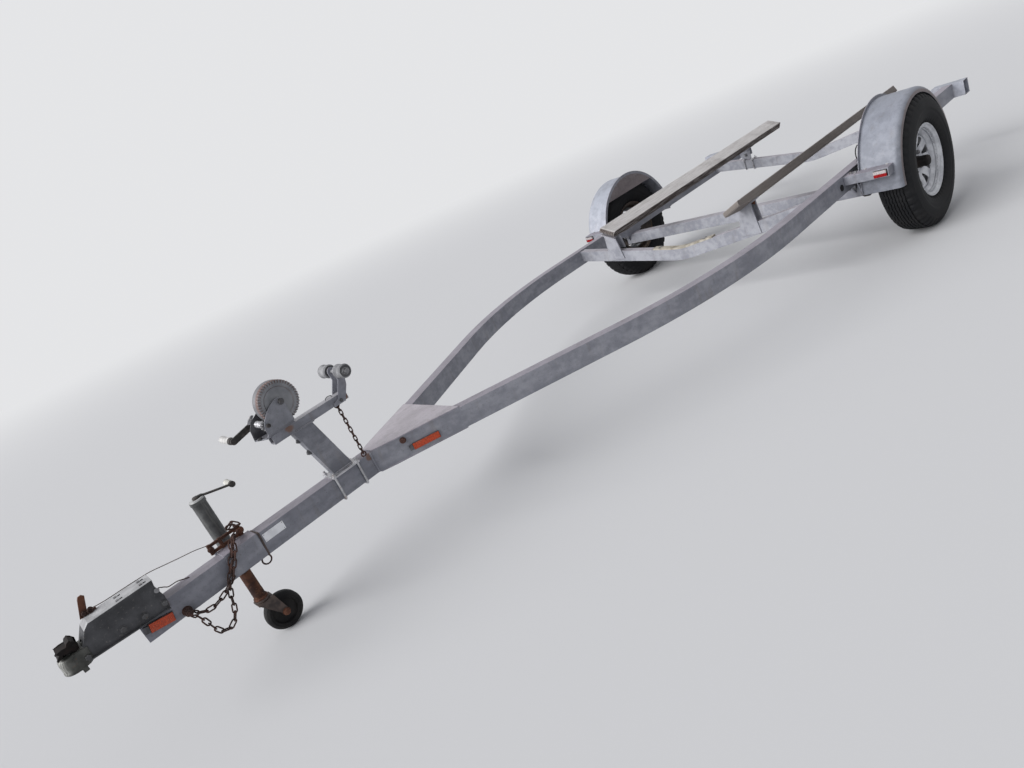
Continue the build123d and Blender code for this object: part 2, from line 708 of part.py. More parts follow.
def winch_pinion():
    """A small toothed wheel whose teeth enter the gear's slots."""
    root, tip = 13.5, 18.6
    points = []
    for i in range(PINION_TEETH):
        a = 360 / PINION_TEETH * i
        for r, turn in ((root, -9.5), (tip, -4.4), (tip, 4.4), (root, 9.5)):
            points.append((r * cos(radians(a + turn)), r * sin(radians(a + turn))))
    toothed = extrude(make_face(Polyline(*points, close=True)), 14, dir=(0, 0, 1)) - Cylinder(6.5, 60)
    toothed = toothed.rotate(Axis.X, 90).rotate(Axis.Y, SHAFT_DROP + 180)
    return toothed.moved(Pos(PINION_X, GEAR_FACE - 3, PINION_Z))


def winch_crank():
    """The pinion's shaft, a flat arm on the right side and a tapered grip."""
    end = (PINION_X + 82, PINION_Z - 17)
    shaft = rod((PINION_X, -72, PINION_Z), (PINION_X, GEAR_FACE + 16, PINION_Z), 6.5)
    arm = flat_bar((PINION_X, PINION_Z), end, 22, -78, -72)
    grip = spun(
        [(0, -78), (7, -78), (7, -88), (11, -90), (13, -104), (11.5, -150), (13, -190), (9, -198), (0, -199)],
        end[0],
        0,
        end[1],
    )
    return shaft + arm + grip


def roller_bracket():
    """A U of strip over the beam's rear end with two ears for the rollers' shaft."""
    low = BEAM_TOP - BEAM_H - 16
    half = BEAM_W / 2
    outline = (
        Line((2684, low), (2748, low))
        + Line((2748, low), (2750, 670))
        + Line((2750, 670), (ROLLER_X + 19.5, ROLLER_Z + 4))
        + ThreePointArc((ROLLER_X + 19.5, ROLLER_Z + 4), (ROLLER_X, ROLLER_Z + 20), (ROLLER_X - 20, ROLLER_Z))
        + Line((ROLLER_X - 20, ROLLER_Z), (2684, low))
    )
    bracket = side_plate(outline, half, half + 4) + side_plate(outline, -half - 4, -half)
    bracket = bracket + block(2684, 2688, -half - 4, half + 4, low, BEAM_TOP + 6)
    return bracket - rod((ROLLER_X, -60, ROLLER_Z), (ROLLER_X, 60, ROLLER_Z), 7)


def bow_rollers():
    """Two waisted rollers on one shaft with a head at each end."""
    r = ROLLER_R
    half_profile = [
        (6, 28), (13, 28), (13, 31), (r - 4, 31), (r, 36), (r - 2, 58), (r, 80), (r - 4, 85), (13, 85),
        (13, 88), (9, 88), (9, 93), (0, 93),
    ]
    profile = [(w, -y) for w, y in reversed(half_profile)] + half_profile
    return spun(profile, ROLLER_X, 0, ROLLER_Z)


def jockey_clamp():
    """A saddle over the drawbar with a split clamp round the tube and its bolt."""
    half = DRAWBAR_W / 2
    saddle = block(3214, 3327, -half - 5, half + 5, FRAME_BOTTOM + 4, FRAME_TOP + 5)
    saddle = saddle - block(3200, 3340, -half, half, FRAME_BOTTOM - 10, FRAME_TOP)
    arm = block(JOCKEY_X - 22, JOCKEY_X + 22, JOCKEY_Y + 26, -half - 5, FRAME_MID - 24, FRAME_MID + 24)
    ring = Cylinder(JOCKEY_TUBE_R + 7, 48).moved(Pos(JOCKEY_X, JOCKEY_Y, FRAME_MID))
    ear_y = JOCKEY_Y - JOCKEY_TUBE_R
    ears = block(JOCKEY_X - 13, JOCKEY_X + 13, ear_y - 30, ear_y, FRAME_MID - 20, FRAME_MID + 20)
    bore = Cylinder(JOCKEY_TUBE_R, 200).moved(Pos(JOCKEY_X, JOCKEY_Y, FRAME_MID))
    split = block(JOCKEY_X - 3, JOCKEY_X + 3, ear_y - 40, ear_y + 4, FRAME_MID - 60, FRAME_MID + 60)
    screw_y = ear_y - 18
    screw = rod((JOCKEY_X - 30, screw_y, FRAME_MID), (JOCKEY_X + 34, screw_y, FRAME_MID), 6)
    tee = rod((JOCKEY_X + 34, screw_y, FRAME_MID - 30), (JOCKEY_X + 34, screw_y, FRAME_MID + 30), 5)
    return saddle + (arm + ring + ears - bore - split) + screw + tee


def jockey_tube():
    """The outer tube with its cap and a rolled lower end."""
    r = JOCKEY_TUBE_R
    low = JOCKEY_TUBE_LOW
    top = JOCKEY_TOP
    profile = [
        (r - 3, low), (r + 1.5, low), (r + 1.5, low + 8), (r, low + 10), (r, top - 16), (r + 2, top - 16),
        (r + 2, top - 4), (r - 2, top), (0, top), (0, top - 14), (r - 3, top - 14),
    ]
    return turned(profile, JOCKEY_X, JOCKEY_Y)


def jockey_crank():
    """A hub on the cap, an arm to the rear that droops a little, an eye and a grip."""
    end_x = JOCKEY_X - 110
    end_z = JOCKEY_TOP - 6
    top = JOCKEY_TOP
    hub = turned([(0, top), (12, top), (12, top + 16), (9, top + 19), (0, top + 19)], JOCKEY_X, JOCKEY_Y)
    arm = rod((JOCKEY_X, JOCKEY_Y, top + 11), (end_x, JOCKEY_Y, end_z), 5.5)
    eye = rod((end_x, JOCKEY_Y + 6, end_z), (end_x, JOCKEY_Y - 6, end_z), 11)
    profile = [(0, -6), (6, -6), (6, -10), (9, -12), (11, -22), (9.5, -44), (10.5, -58), (6, -62), (0, -62)]
    return hub + arm + eye + spun(profile, end_x, JOCKEY_Y, end_z)


def jockey_stem():
    """The inner tube that slides in the outer one."""
    low = YOKE_Z + 15
    length = JOCKEY_STEM_TOP - low
    tube = Cylinder(JOCKEY_STEM_R, length) - Cylinder(JOCKEY_STEM_R - 4, length + 2)
    return tube.moved(Pos(JOCKEY_X, JOCKEY_Y, (JOCKEY_STEM_TOP + low) / 2))


def jockey_fork():
    """A swivel crown, a yoke plate and two tapered cheeks that carry the wheel's pin."""
    wheel_x = JOCKEY_X - JOCKEY_TRAIL
    wheel_z = over_floor(wheel_x, JOCKEY_WHEEL_R)
    z = YOKE_Z
    crown = turned(
        [(0, z), (23, z), (23, z + 10), (27, z + 10), (27, z + 14), (22, z + 15), (0, z + 15)],
        JOCKEY_X,
        JOCKEY_Y,
    )
    fork = crown + block(wheel_x + 6, JOCKEY_X + 25, JOCKEY_Y - 28, JOCKEY_Y + 28, z, z + 5)
    r = 12.0
    outline = (
        Line((JOCKEY_X + 25, z + 5), (wheel_x + 6, z + 5))
        + Line((wheel_x + 6, z + 5), (wheel_x - r, wheel_z + 3))
        + ThreePointArc((wheel_x - r, wheel_z + 3), (wheel_x + 1, wheel_z - r), (wheel_x + r, wheel_z + 2))
        + Line((wheel_x + r, wheel_z + 2), (JOCKEY_X + 25, z + 5))
    )
    for s in (LEFT, RIGHT):
        fork = fork + side_plate(outline, JOCKEY_Y + s * 24, JOCKEY_Y + s * 28)
    return fork + rod((wheel_x, JOCKEY_Y - 34, wheel_z), (wheel_x, JOCKEY_Y + 34, wheel_z), 6)


def jockey_wheel():
    """A solid tyre on a thin web with a hub."""
    half = JOCKEY_WHEEL_W / 2
    r = JOCKEY_WHEEL_R
    half_profile = [
        (6.5, half + 2), (14, half + 2), (15, half - 13), (42, half - 13), (45, half - 2), (r - 10, half),
        (r - 3, half - 5), (r, half - 11),
    ]
    profile = half_profile + [(w, -y) for w, y in reversed(half_profile)]
    wheel_x = JOCKEY_X - JOCKEY_TRAIL
    return spun(profile, wheel_x, JOCKEY_Y, over_floor(wheel_x, r))


def corner_radii(points):
    """The largest even arc at each corner: 0.45 of its shorter run over the half turn's tangent."""
    radii = []
    for before, at, after in zip(points, points[1:], points[2:]):
        run_in = Vector(*at) - Vector(*before)
        run_out = Vector(*after) - Vector(*at)
        half_turn = radians(run_in.get_angle(run_out)) / 2
        radii.append(0.45 * min(run_in.length, run_out.length) / tan(half_turn))
    return radii


def lamp_cable():
    """A black cable that arches from one hole in the left rail's top to another."""
    points = [(x, CABLE_Y, z) for x, z in CABLE_ROUTE]
    radii = corner_radii(points)
    path = FilletPolyline(*points, radius=radii)
    start = Plane(origin=path @ 0, z_dir=path % 0)
    tube = sweep(start * Circle(CABLE_R), path=path)
    print("lamp cable radii", [round(r, 1) for r in radii], "length", round(path.length, 1))
    print("volume over section times length", round(tube.volume / (pi * CABLE_R**2 * path.length), 4))
    return tube - block(0, 300, 600, 800, 300, FRAME_TOP)


put("drawbar", drawbar())
put("junction_plate_top", junction_plate(FRAME_TOP))
put("junction_plate_bottom", junction_plate(FRAME_BOTTOM - PLATE_T))
for name, x in CROSS_X.items():
    put(f"{name}_cross_member", cross_member(x))
put("keel_pad", keel_pad())
put("axle_beam", axle_beam())
put("front_reflector_plate", front_reflector_plate())
put("side_reflectors", side_reflectors())
put("coupling_housing", coupling_housing())
put("coupling_head", coupling_head())
put("coupling_handle", coupling_handle())
put("handbrake_lever", handbrake_lever())
put("winch_saddle", winch_saddle())
put("winch_post", winch_post())
put("winch_beam", winch_beam())
put("winch_frame", winch_frame())
put("winch_drum", winch_drum())
put("winch_gear", winch_gear())
put("winch_pinion", winch_pinion())
put("winch_crank", winch_crank())
put("roller_bracket", roller_bracket())
put("bow_rollers", bow_rollers())
put("jockey_clamp", jockey_clamp())
put("jockey_tube", jockey_tube())
put("jockey_crank", jockey_crank())
put("jockey_stem", jockey_stem())
put("jockey_fork", jockey_fork())
put("jockey_wheel", jockey_wheel())
put("lamp_cable", lamp_cable())
for name, side in SIDES.items():
    put(f"{name}_rail", rail(side))
    put(f"{name}_bunk", bunk(side, *BUNK_ENDS[name]))
    put(f"{name}_front_post", front_post(side))
    put(f"{name}_rear_bracket", rear_bracket(side))
    put(f"{name}_axle_mount", axle_mount(side))
    put(f"{name}_swing_arm", swing_arm(side))
    put(f"{name}_back_plate", back_plate(side))
    put(f"{name}_brake_drum", brake_drum(side))
    put(f"{name}_rim", wheel_rim(side))
    put(f"{name}_tyre", tyre(side))
    put(f"{name}_mudguard", mudguard(side))
    put(f"{name}_guard_brackets", Compound([guard_bracket(side, 1), guard_bracket(side, -1)]))
    put(f"{name}_marker_lamp", marker_lamp(side))
    put(f"{name}_light_bar", light_bar_stub(side, {"left": 790, "right": 962}[name]))
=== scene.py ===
"""Looks of the boat trailer: camera, light, finishes, and the small pieces on the frame.

Lengths are metres. X points forward to the coupling, Y to the trailer's left, Z up.
Small pieces are drawn as the frame is, level, with X from the wheel axis and Z from the
floor under the wheels. LEAN then leans them as the parked trailer leans.
"""
import json
import math

import bmesh
import bpy
from mathutils import Matrix, Vector


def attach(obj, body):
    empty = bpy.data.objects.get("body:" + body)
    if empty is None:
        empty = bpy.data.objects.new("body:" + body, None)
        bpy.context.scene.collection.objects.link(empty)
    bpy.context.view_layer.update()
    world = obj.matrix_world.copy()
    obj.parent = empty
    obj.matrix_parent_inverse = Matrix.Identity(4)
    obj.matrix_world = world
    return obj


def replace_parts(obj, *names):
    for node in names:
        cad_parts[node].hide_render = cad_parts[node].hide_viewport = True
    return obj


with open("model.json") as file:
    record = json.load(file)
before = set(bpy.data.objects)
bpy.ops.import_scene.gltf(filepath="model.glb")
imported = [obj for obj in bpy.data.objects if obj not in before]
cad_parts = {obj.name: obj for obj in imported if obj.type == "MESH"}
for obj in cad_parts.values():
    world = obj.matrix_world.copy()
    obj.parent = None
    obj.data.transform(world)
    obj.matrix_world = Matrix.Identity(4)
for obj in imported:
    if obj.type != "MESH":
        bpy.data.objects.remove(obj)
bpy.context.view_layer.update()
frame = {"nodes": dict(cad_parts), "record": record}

# photograph's camera
IMAGE_W = 1024
FOCAL_PX = 698.12
SENSOR_MM = 36.0
CAMERA_AT = Vector((2.388, 2.243, 1.185))
CAMERA_YAW = math.radians(234.508)
CAMERA_PITCH = math.radians(-18.309)
CAMERA_ROLL = math.radians(-24.0)

# parked lean
ORIGIN_X = -1.262
NOSE_DOWN = math.radians(0.54)
AXLE_Z = 0.312
LEAN = (
    Matrix.Translation((ORIGIN_X, 0, AXLE_Z))
    @ Matrix.Rotation(NOSE_DOWN, 4, "Y")
    @ Matrix.Translation((0, 0, -AXLE_Z))
)

# frame
FRAME_TOP = 0.424
FRAME_BOTTOM = 0.344
DRAWBAR_HALF = 0.030
RAIL_Y = 0.705
RAIL_HALF = 0.025
SPLAY = math.radians(27.6)
JOIN_X = 2.757
CROSS_X = {"front": 0.705, "rear": -0.850}
CROSS_END_Z = 0.389
CROSS_SLOPE = 0.097 / 0.680
BEAM_X = 0.215
BUNK_Y = 0.420
BUNK_TOP_Z = 0.511
BUNK_T = 0.040
BUNK_TILT = math.radians(25)

# wheels
WHEEL_Y = 0.892
DISC_Y = 0.005
STUD_CIRCLE_R = 0.050
STUD_COUNT = 4
STUD_TURN = 52.0

# winch, rollers, coupling and jockey wheel
DRUM_AT = (2.944, 0.753)
PINION_AT = (3.0153, 0.7067)
GEAR_FACE = 0.052
GEAR_TEETH = 44
ROLLER_AT = (2.711, 0.731)
WINCH_BEAM_HALF = 0.020
WINCH_BEAM_LOW = 0.630
WINCH_BEAM_TOP = 0.660
HOUSING_Y = 0.038
BALL_X = 3.772
JOCKEY_X = 3.280
JOCKEY_Y = -0.106
JOCKEY_TOP = 0.591
JOCKEY_WHEEL_AT = (3.241, 0.0966)
CLAMP_BOLT_Y = -0.148
CLAMP_BOLT_Z = 0.384

# chain links: wire radius, pitch, half length and half width
SAFETY_LINK = (0.0025, 0.0246, 0.0152, 0.0068)
BOW_LINK = (0.0021, 0.0172, 0.0110, 0.0052)

# light, floor and backdrop
BACKDROP = (0.78, 0.785, 0.80)
FLOOR_COLOUR = (0.68, 0.68, 0.69)
FLOOR_HALF = 60.0
FLOOR_FADE = (5.0, 20.0)
SKY_COLOUR = (0.93, 0.95, 1.0)
SKY_STRENGTH = 0.40
SUN_STRENGTH = 3.2
SUN_ANGLE = math.radians(50)
SUN_TOWARDS = Vector((-0.84, 0.22, -0.50))

SIDES = {"left": 1, "right": -1}
X_AXIS = Vector((1, 0, 0))
Y_AXIS = Vector((0, 1, 0))
Z_AXIS = Vector((0, 0, 1))


def add_camera():
    """A camera at the photograph's place, turned about its own line of sight."""
    data = bpy.data.cameras.new("camera")
    data.sensor_width = SENSOR_MM
    data.lens = FOCAL_PX / IMAGE_W * SENSOR_MM
    data.clip_start = 0.05
    data.clip_end = 200.0
    camera = bpy.data.objects.new("camera", data)
    forward = Vector((
        math.cos(CAMERA_YAW) * math.cos(CAMERA_PITCH),
        math.sin(CAMERA_YAW) * math.cos(CAMERA_PITCH),
        math.sin(CAMERA_PITCH),
    ))
    level = Vector((math.sin(CAMERA_YAW), -math.cos(CAMERA_YAW), 0))
    above = level.cross(forward)
    image_x = math.cos(CAMERA_ROLL) * level + math.sin(CAMERA_ROLL) * above
    image_up = -math.sin(CAMERA_ROLL) * level + math.cos(CAMERA_ROLL) * above
    turn = Matrix((image_x, image_up, -forward)).transposed()
    camera.matrix_world = Matrix.Translation(CAMERA_AT) @ turn.to_4x4()
    bpy.context.scene.collection.objects.link(camera)
    bpy.context.scene.camera = camera


add_camera()


class Finish:
    """A material, with short names for the nodes that feed its shader."""

    def __init__(self, name, metallic=0.0, coat=0.0, specular=0.5):
        self.material = bpy.data.materials.new(name)
        self.material.use_nodes = True
        self.tree = self.material.node_tree
        self.shader = self.tree.nodes["Principled BSDF"]
        self.shader.inputs["Metallic"].default_value = metallic
        self.shader.inputs["Coat Weight"].default_value = coat
        self.shader.inputs["Specular IOR Level"].default_value = specular
        coordinates = self.tree.nodes.new("ShaderNodeTexCoord")
        self.place = coordinates.outputs["Object"]
        self.facing = coordinates.outputs["Normal"]

    def node(self, kind, feeds, **settings):
        made = self.tree.nodes.new(kind)
        for key, value in settings.items():
            setattr(made, key, value)
        for key, value in feeds.items():
            if isinstance(value, bpy.types.NodeSocket):
                self.tree.links.new(value, made.inputs[key])
            else:
                made.inputs[key].default_value = value
        return made

    def stretched(self, x, y, z):
        return self.node("ShaderNodeMapping", {"Vector": self.place, "Scale": (x, y, z)}).outputs[0]

    def noise(self, scale, detail=4.0, place=None):
        feeds = {"Vector": place or self.place, "Scale": scale, "Detail": detail}
        return self.node("ShaderNodeTexNoise", feeds).outputs[0]

    def cells(self, scale, output="Color"):
        return self.node("ShaderNodeTexVoronoi", {"Vector": self.place, "Scale": scale}).outputs[output]

    def part(self, vector, axis):
        return self.node("ShaderNodeSeparateXYZ", {0: vector}).outputs[axis]

    def step(self, value, low, high):
        """0 where the value is under low, 1 over high, smooth between."""
        feeds = {"Value": value, "From Min": low, "From Max": high}
        return self.node("ShaderNodeMapRange", feeds, interpolation_type="SMOOTHSTEP").outputs[0]

    def band(self, value, middle, half):
        """1 near the middle value and 0 beyond its half width."""
        away = self.math("ABSOLUTE", self.math("SUBTRACT", value, middle), 0.0)
        return self.step(away, half, half * 0.6)

    def math(self, operation, a, b):
        return self.node("ShaderNodeMath", {0: a, 1: b}, operation=operation).outputs[0]

    def total(self, *terms):
        """The sum of values, each times its weight."""
        whole = 0.0
        for value, weight in terms:
            feeds = {0: value, 1: weight, 2: whole}
            whole = self.node("ShaderNodeMath", feeds, operation="MULTIPLY_ADD").outputs[0]
        return whole

    def mix(self, factor, a, b):
        a = (*a, 1) if isinstance(a, tuple) else a
        b = (*b, 1) if isinstance(b, tuple) else b
        return self.node("ShaderNodeMix", {0: factor, 6: a, 7: b}, data_type="RGBA").outputs[2]

    def split(self, value, low, high, a, b):
        """Colour a where the value is under low, and b over high."""
        return self.mix(self.step(value, low, high), a, b)

    def over(self, under, tint, value, low, high, share):
        """A tint laid over a colour where the value is high."""
        return self.mix(self.math("MULTIPLY", self.step(value, low, high), share), under, tint)

    def edges(self, under, tint, radius, share):
        """A tint laid over a colour along the worn edges."""
        return self.mix(self.math("MULTIPLY", self.worn_edge(radius), share), under, tint)

    def rough(self, value, low, high):
        feeds = {"Value": value, "To Min": low, "To Max": high}
        made = self.node("ShaderNodeMapRange", feeds).outputs[0]
        self.tree.links.new(made, self.shader.inputs["Roughness"])

    def bump(self, height, distance, round_edge=0.0):
        feeds = {"Height": height, "Distance": distance, "Strength": 1.0}
        if round_edge:
            feeds["Normal"] = self.node("ShaderNodeBevel", {"Radius": round_edge}).outputs[0]
        made = self.node("ShaderNodeBump", feeds).outputs[0]
        self.tree.links.new(made, self.shader.inputs["Normal"])

    def worn_edge(self, radius):
        """1 along the edges, where the rounded and the true normal part."""
        rounded = self.node("ShaderNodeBevel", {"Radius": radius}).outputs[0]
        true = self.node("ShaderNodeNewGeometry", {}).outputs["Normal"]
        dot = self.node("ShaderNodeVectorMath", {0: rounded, 1: true}, operation="DOT_PRODUCT")
        return self.step(dot.outputs["Value"], 0.985, 0.9)

    def made(self, colour, rough, bump):
        """The finished material, from its colour, roughness and bump."""
        self.tree.links.new(colour, self.shader.inputs["Base Color"])
        self.rough(*rough)
        self.bump(*bump)
        return self.material


def galvanised(name, dark, pale, top, stain=0.25, metallic=0.25, wall=None, spots=()):
    """Hot-dip zinc: soft clouds and streaks of two greys, with run-off stains; upward faces are paler as a
    painted highlight, and with a wall colour the flat faces that look along Y take it as painted shade.
    """
    f = Finish(name, metallic)
    clouds = f.noise(8.0, 7.0)
    mottle = f.noise(46.0, 6.0)
    streaks = f.noise(1.0, 6.0, f.stretched(8.0, 36.0, 36.0))
    tone = f.total((clouds, 0.4), (streaks, 0.35), (mottle, 0.2), (f.cells(85.0), 0.05))
    side = f.split(tone, 0.4, 0.6, dark, pale)
    # painted highlight: faces that look up take the paler top colour
    up = f.step(f.part(f.facing, 2), 0.35, 0.85)
    tip = f.split(tone, 0.38, 0.6, tuple(0.78 * c for c in top), top)
    metal = f.mix(up, side, tip)
    # painted shade with a brown ground reflection: flat faces that look along Y take the wall colour
    if wall:
        flat = f.step(f.math("ABSOLUTE", f.part(f.facing, 1), 0.0), 0.9, 0.97)
        metal = f.mix(flat, metal, f.split(tone, 0.4, 0.6, tuple(0.7 * c for c in wall), wall))
    runs = f.noise(1.0, 5.0, f.stretched(34.0, 34.0, 5.0))
    metal = f.over(metal, (0.15, 0.12, 0.095), runs, 0.54, 0.76, stain)
    flecks = f.math("MULTIPLY", f.step(f.noise(210.0, 3.0), 0.6, 0.74), 0.45)
    metal = f.mix(flecks, metal, (0.09, 0.082, 0.078))
    metal = f.edges(metal, tuple(1.2 * c for c in top), 0.0018, 0.4)
    for place, radius in spots:
        centre = tuple(LEAN @ Vector(place))
        away = f.node("ShaderNodeVectorMath", {0: f.place, 1: centre}, operation="DISTANCE")
        reach = f.total((away.outputs["Value"], 1.0), (mottle, radius))
        metal = f.over(metal, (0.17, 0.085, 0.05), reach, 1.55 * radius, radius, 0.8)
    return f.made(
        metal,
        rough=(tone, 0.42, 0.7),
        bump=(f.total((mottle, 1.0), (clouds, 0.5)), 0.0006, 0.0016),
    )


def rusty(name, deep, bright, pale, share=0.25, grain=150.0):
    """Rust in two browns with pale scuffs and a scaly grain."""
    f = Finish(name, 0.0, 0.0, 0.3)
    patches = f.noise(26.0, 8.0)
    scale = f.noise(grain, 6.0)
    skin = f.split(patches, 0.38, 0.64, deep, bright)
    skin = f.over(skin, pale, scale, 0.55, 0.75, share)
    skin = f.edges(skin, pale, 0.0015, 0.35)
    return f.made(skin, rough=(scale, 0.62, 0.95), bump=(f.math("ADD", scale, patches), 0.0009, 0.001))


def zinc(name, base, tint):
    """Plated small parts, dulled, with a little rust in patches."""
    f = Finish(name, 0.65)
    clouds = f.noise(45.0, 6.0)
    metal = f.split(clouds, 0.35, 0.65, tuple(0.7 * c for c in base), base)
    metal = f.over(metal, tint, f.noise(70.0, 6.0), 0.55, 0.72, 0.6)
    metal = f.edges(metal, tuple(min(1.0, 1.5 * c) for c in base), 0.0012, 0.6)
    return f.made(metal, rough=(clouds, 0.3, 0.6), bump=(f.noise(260.0, 4.0), 0.0003, 0.0008))


def rubber(name, base, dust, grain, dusty=0.5):
    """Black rubber with dust and a fine grain."""
    f = Finish(name, 0.0, 0.0, 0.22)
    clouds = f.noise(14.0, 6.0)
    fine = f.noise(grain, 5.0)
    skin = f.over(base, dust, clouds, 0.42, 0.72, dusty)
    skin = f.over(skin, dust, fine, 0.6, 0.75, 0.25)
    return f.made(skin, rough=(clouds, 0.62, 0.86), bump=(fine, 0.0004))


def rim_paint():
    """Silver wheel paint, dulled, with brown road grime and painted shade on the rim's inner side."""
    f = Finish("rim_paint", 0.45, 0.1)
    clouds = f.noise(24.0, 6.0)
    specks = f.step(f.noise(240.0, 4.0), 0.58, 0.75)
    paint = f.split(clouds, 0.35, 0.7, (0.4, 0.41, 0.44), (0.62, 0.63, 0.66))
    paint = f.mix(f.math("MULTIPLY", specks, 0.4), paint, (0.16, 0.13, 0.11))
    paint = f.edges(paint, (0.8, 0.81, 0.83), 0.002, 0.5)
    # painted shade with road grime: the rim's inner side, towards the trailer's middle, turns dark brown
    inner = f.step(f.math("ABSOLUTE", f.part(f.place, 1), 0.0), 0.885, 0.865)
    dirt_and_shade = f.split(clouds, 0.4, 0.65, (0.045, 0.03, 0.022), (0.11, 0.075, 0.055))
    return f.made(
        f.mix(inner, paint, dirt_and_shade),
        rough=(clouds, 0.3, 0.55),
        bump=(f.noise(300.0, 4.0), 0.0002, 0.0015),
    )


def wood(name, side, top, dark_grain):
    """Weathered plank: pale silvery top, dark side, grain along the plank and drying cracks."""
    f = Finish(name, 0.0, 0.0, 0.25)
    along = f.stretched(1.0, 26.0, 26.0)
    grain = f.noise(9.0, 10.0, along)
    fine = f.noise(34.0, 6.0, along)
    up = f.step(f.part(f.facing, 2), 0.62, 0.86)
    blotch = f.noise(7.0, 6.0)
    face = f.mix(up, side, top)
    face = f.over(face, dark_grain, grain, 0.46, 0.62, 0.5)
    face = f.over(face, tuple(1.6 * c for c in side), blotch, 0.5, 0.74, 0.25)
    face = f.edges(face, tuple(1.15 * c for c in top), 0.004, 0.7)
    return f.made(
        face,
        rough=(fine, 0.75, 0.97),
        bump=(f.math("ADD", grain, f.math("MULTIPLY", fine, 0.5)), 0.0022, 0.002),
    )


def pad():
    """Aged beige pad, in two mottled tones."""
    f = Finish("pad_rubber", 0.0, 0.0, 0.3)
    clouds = f.noise(30.0, 7.0)
    face = f.split(clouds, 0.35, 0.65, (0.28, 0.25, 0.2), (0.5, 0.46, 0.39))
    return f.made(face, rough=(clouds, 0.7, 0.9), bump=(f.noise(160.0, 5.0), 0.0008, 0.001))


def reflector(name, base):
    """A moulded reflector: rows of small prisms under a smooth face."""
    f = Finish(name, 0.0, 0.15, 0.3)
    prisms = f.cells(330.0, "Distance")
    face = f.split(prisms, 0.15, 0.75, base, tuple(0.55 * c for c in base))
    face = f.over(face, (0.24, 0.15, 0.1), f.noise(40.0, 6.0), 0.5, 0.75, 0.35)
    return f.made(face, rough=(f.noise(60.0), 0.12, 0.35), bump=(prisms, 0.0008, 0.0012))


def housing_steel():
    """The coupling housing: charcoal sides with dusty specks, and a painted highlight on the upward faces
    and the edges of its upper part.
    """
    f = Finish("coupling_grey", 0.25)
    clouds = f.noise(20.0, 8.0)
    specks = f.noise(150.0, 5.0)
    height = f.part(f.place, 2)
    side = f.split(clouds, 0.35, 0.68, (0.03, 0.031, 0.035), (0.072, 0.073, 0.08))
    side = f.over(side, (0.24, 0.22, 0.2), specks, 0.6, 0.78, 0.45)
    # painted highlight: upward faces of the upper part take the pale top colour, and its edges a paler grey
    high = f.step(height, 0.425, 0.445)
    up = f.math("MULTIPLY", f.step(f.part(f.facing, 2), 0.55, 0.9), high)
    top = f.split(clouds, 0.3, 0.7, (0.36, 0.36, 0.37), (0.56, 0.56, 0.57))
    metal = f.mix(up, side, top)
    edge = f.math("MULTIPLY", f.worn_edge(0.0022), f.math("MULTIPLY", high, 0.6))
    metal = f.mix(edge, metal, (0.55, 0.55, 0.56))
    return f.made(metal, rough=(clouds, 0.45, 0.75), bump=(f.math("ADD", specks, clouds), 0.0006, 0.002))


def head_iron():
    """The ball head: greasy grey-green neck and a scratched bright nose."""
    f = Finish("coupling_iron", 0.5)
    clouds = f.noise(32.0, 8.0)
    scratch = f.noise(1.0, 4.0, f.stretched(60.0, 420.0, 60.0))
    nose = f.step(f.part(f.place, 0), 2.528, 2.552)
    base = f.split(clouds, 0.35, 0.68, (0.03, 0.031, 0.028), (0.085, 0.086, 0.08))
    bright = f.split(scratch, 0.35, 0.6, (0.12, 0.12, 0.11), (0.42, 0.42, 0.4))
    metal = f.mix(f.math("MULTIPLY", nose, 0.85), base, bright)
    metal = f.over(metal, (0.14, 0.07, 0.04), f.noise(50.0, 6.0), 0.6, 0.72, 0.5)
    return f.made(metal, rough=(clouds, 0.32, 0.65), bump=(f.noise(170.0, 6.0), 0.0007, 0.003))


def roller_grey():
    """Grey roller with dark end faces round its bolt."""
    f = Finish("roller_plastic", 0.0, 0.0, 0.4)
    clouds = f.noise(40.0, 7.0)
    end = f.step(f.math("ABSOLUTE", f.part(f.facing, 1), 0.0), 0.6, 0.95)
    skin = f.split(clouds, 0.35, 0.68, (0.17, 0.17, 0.18), (0.34, 0.34, 0.35))
    skin = f.mix(f.math("MULTIPLY", end, 0.75), skin, (0.035, 0.034, 0.036))
    return f.made(skin, rough=(clouds, 0.5, 0.8), bump=(f.noise(150.0, 5.0), 0.0008, 0.002))


def crank_finish():
    """The jockey crank: black arm and hub, white scuffed grip beyond the eye."""
    f = Finish("crank_black", 0.1)
    clouds = f.noise(60.0, 6.0)
    grip = f.step(f.part(f.place, 1), JOCKEY_Y - 0.0085, JOCKEY_Y - 0.0105)
    arm = f.split(clouds, 0.4, 0.7, (0.018, 0.017, 0.017), (0.07, 0.06, 0.055))
    handle = f.split(clouds, 0.4, 0.7, (0.5, 0.49, 0.45), (0.78, 0.77, 0.73))
    return f.made(f.mix(grip, arm, handle), rough=(clouds, 0.45, 0.75), bump=(clouds, 0.0006, 0.001))


def winch_crank_finish():
    """The winch crank: a dark steel arm and a pale grip."""
    f = Finish("winch_crank_steel", 0.3)
    clouds = f.noise(50.0, 6.0)
    across = f.part(f.place, 1)
    steel = f.split(clouds, 0.4, 0.7, (0.022, 0.02, 0.02), (0.075, 0.066, 0.062))
    pale = f.split(clouds, 0.4, 0.7, (0.5, 0.49, 0.48), (0.72, 0.71, 0.7))
    return f.made(
        f.split(across, -0.104, -0.106, steel, pale),
        rough=(clouds, 0.4, 0.75),
        bump=(clouds, 0.0006, 0.001),
    )


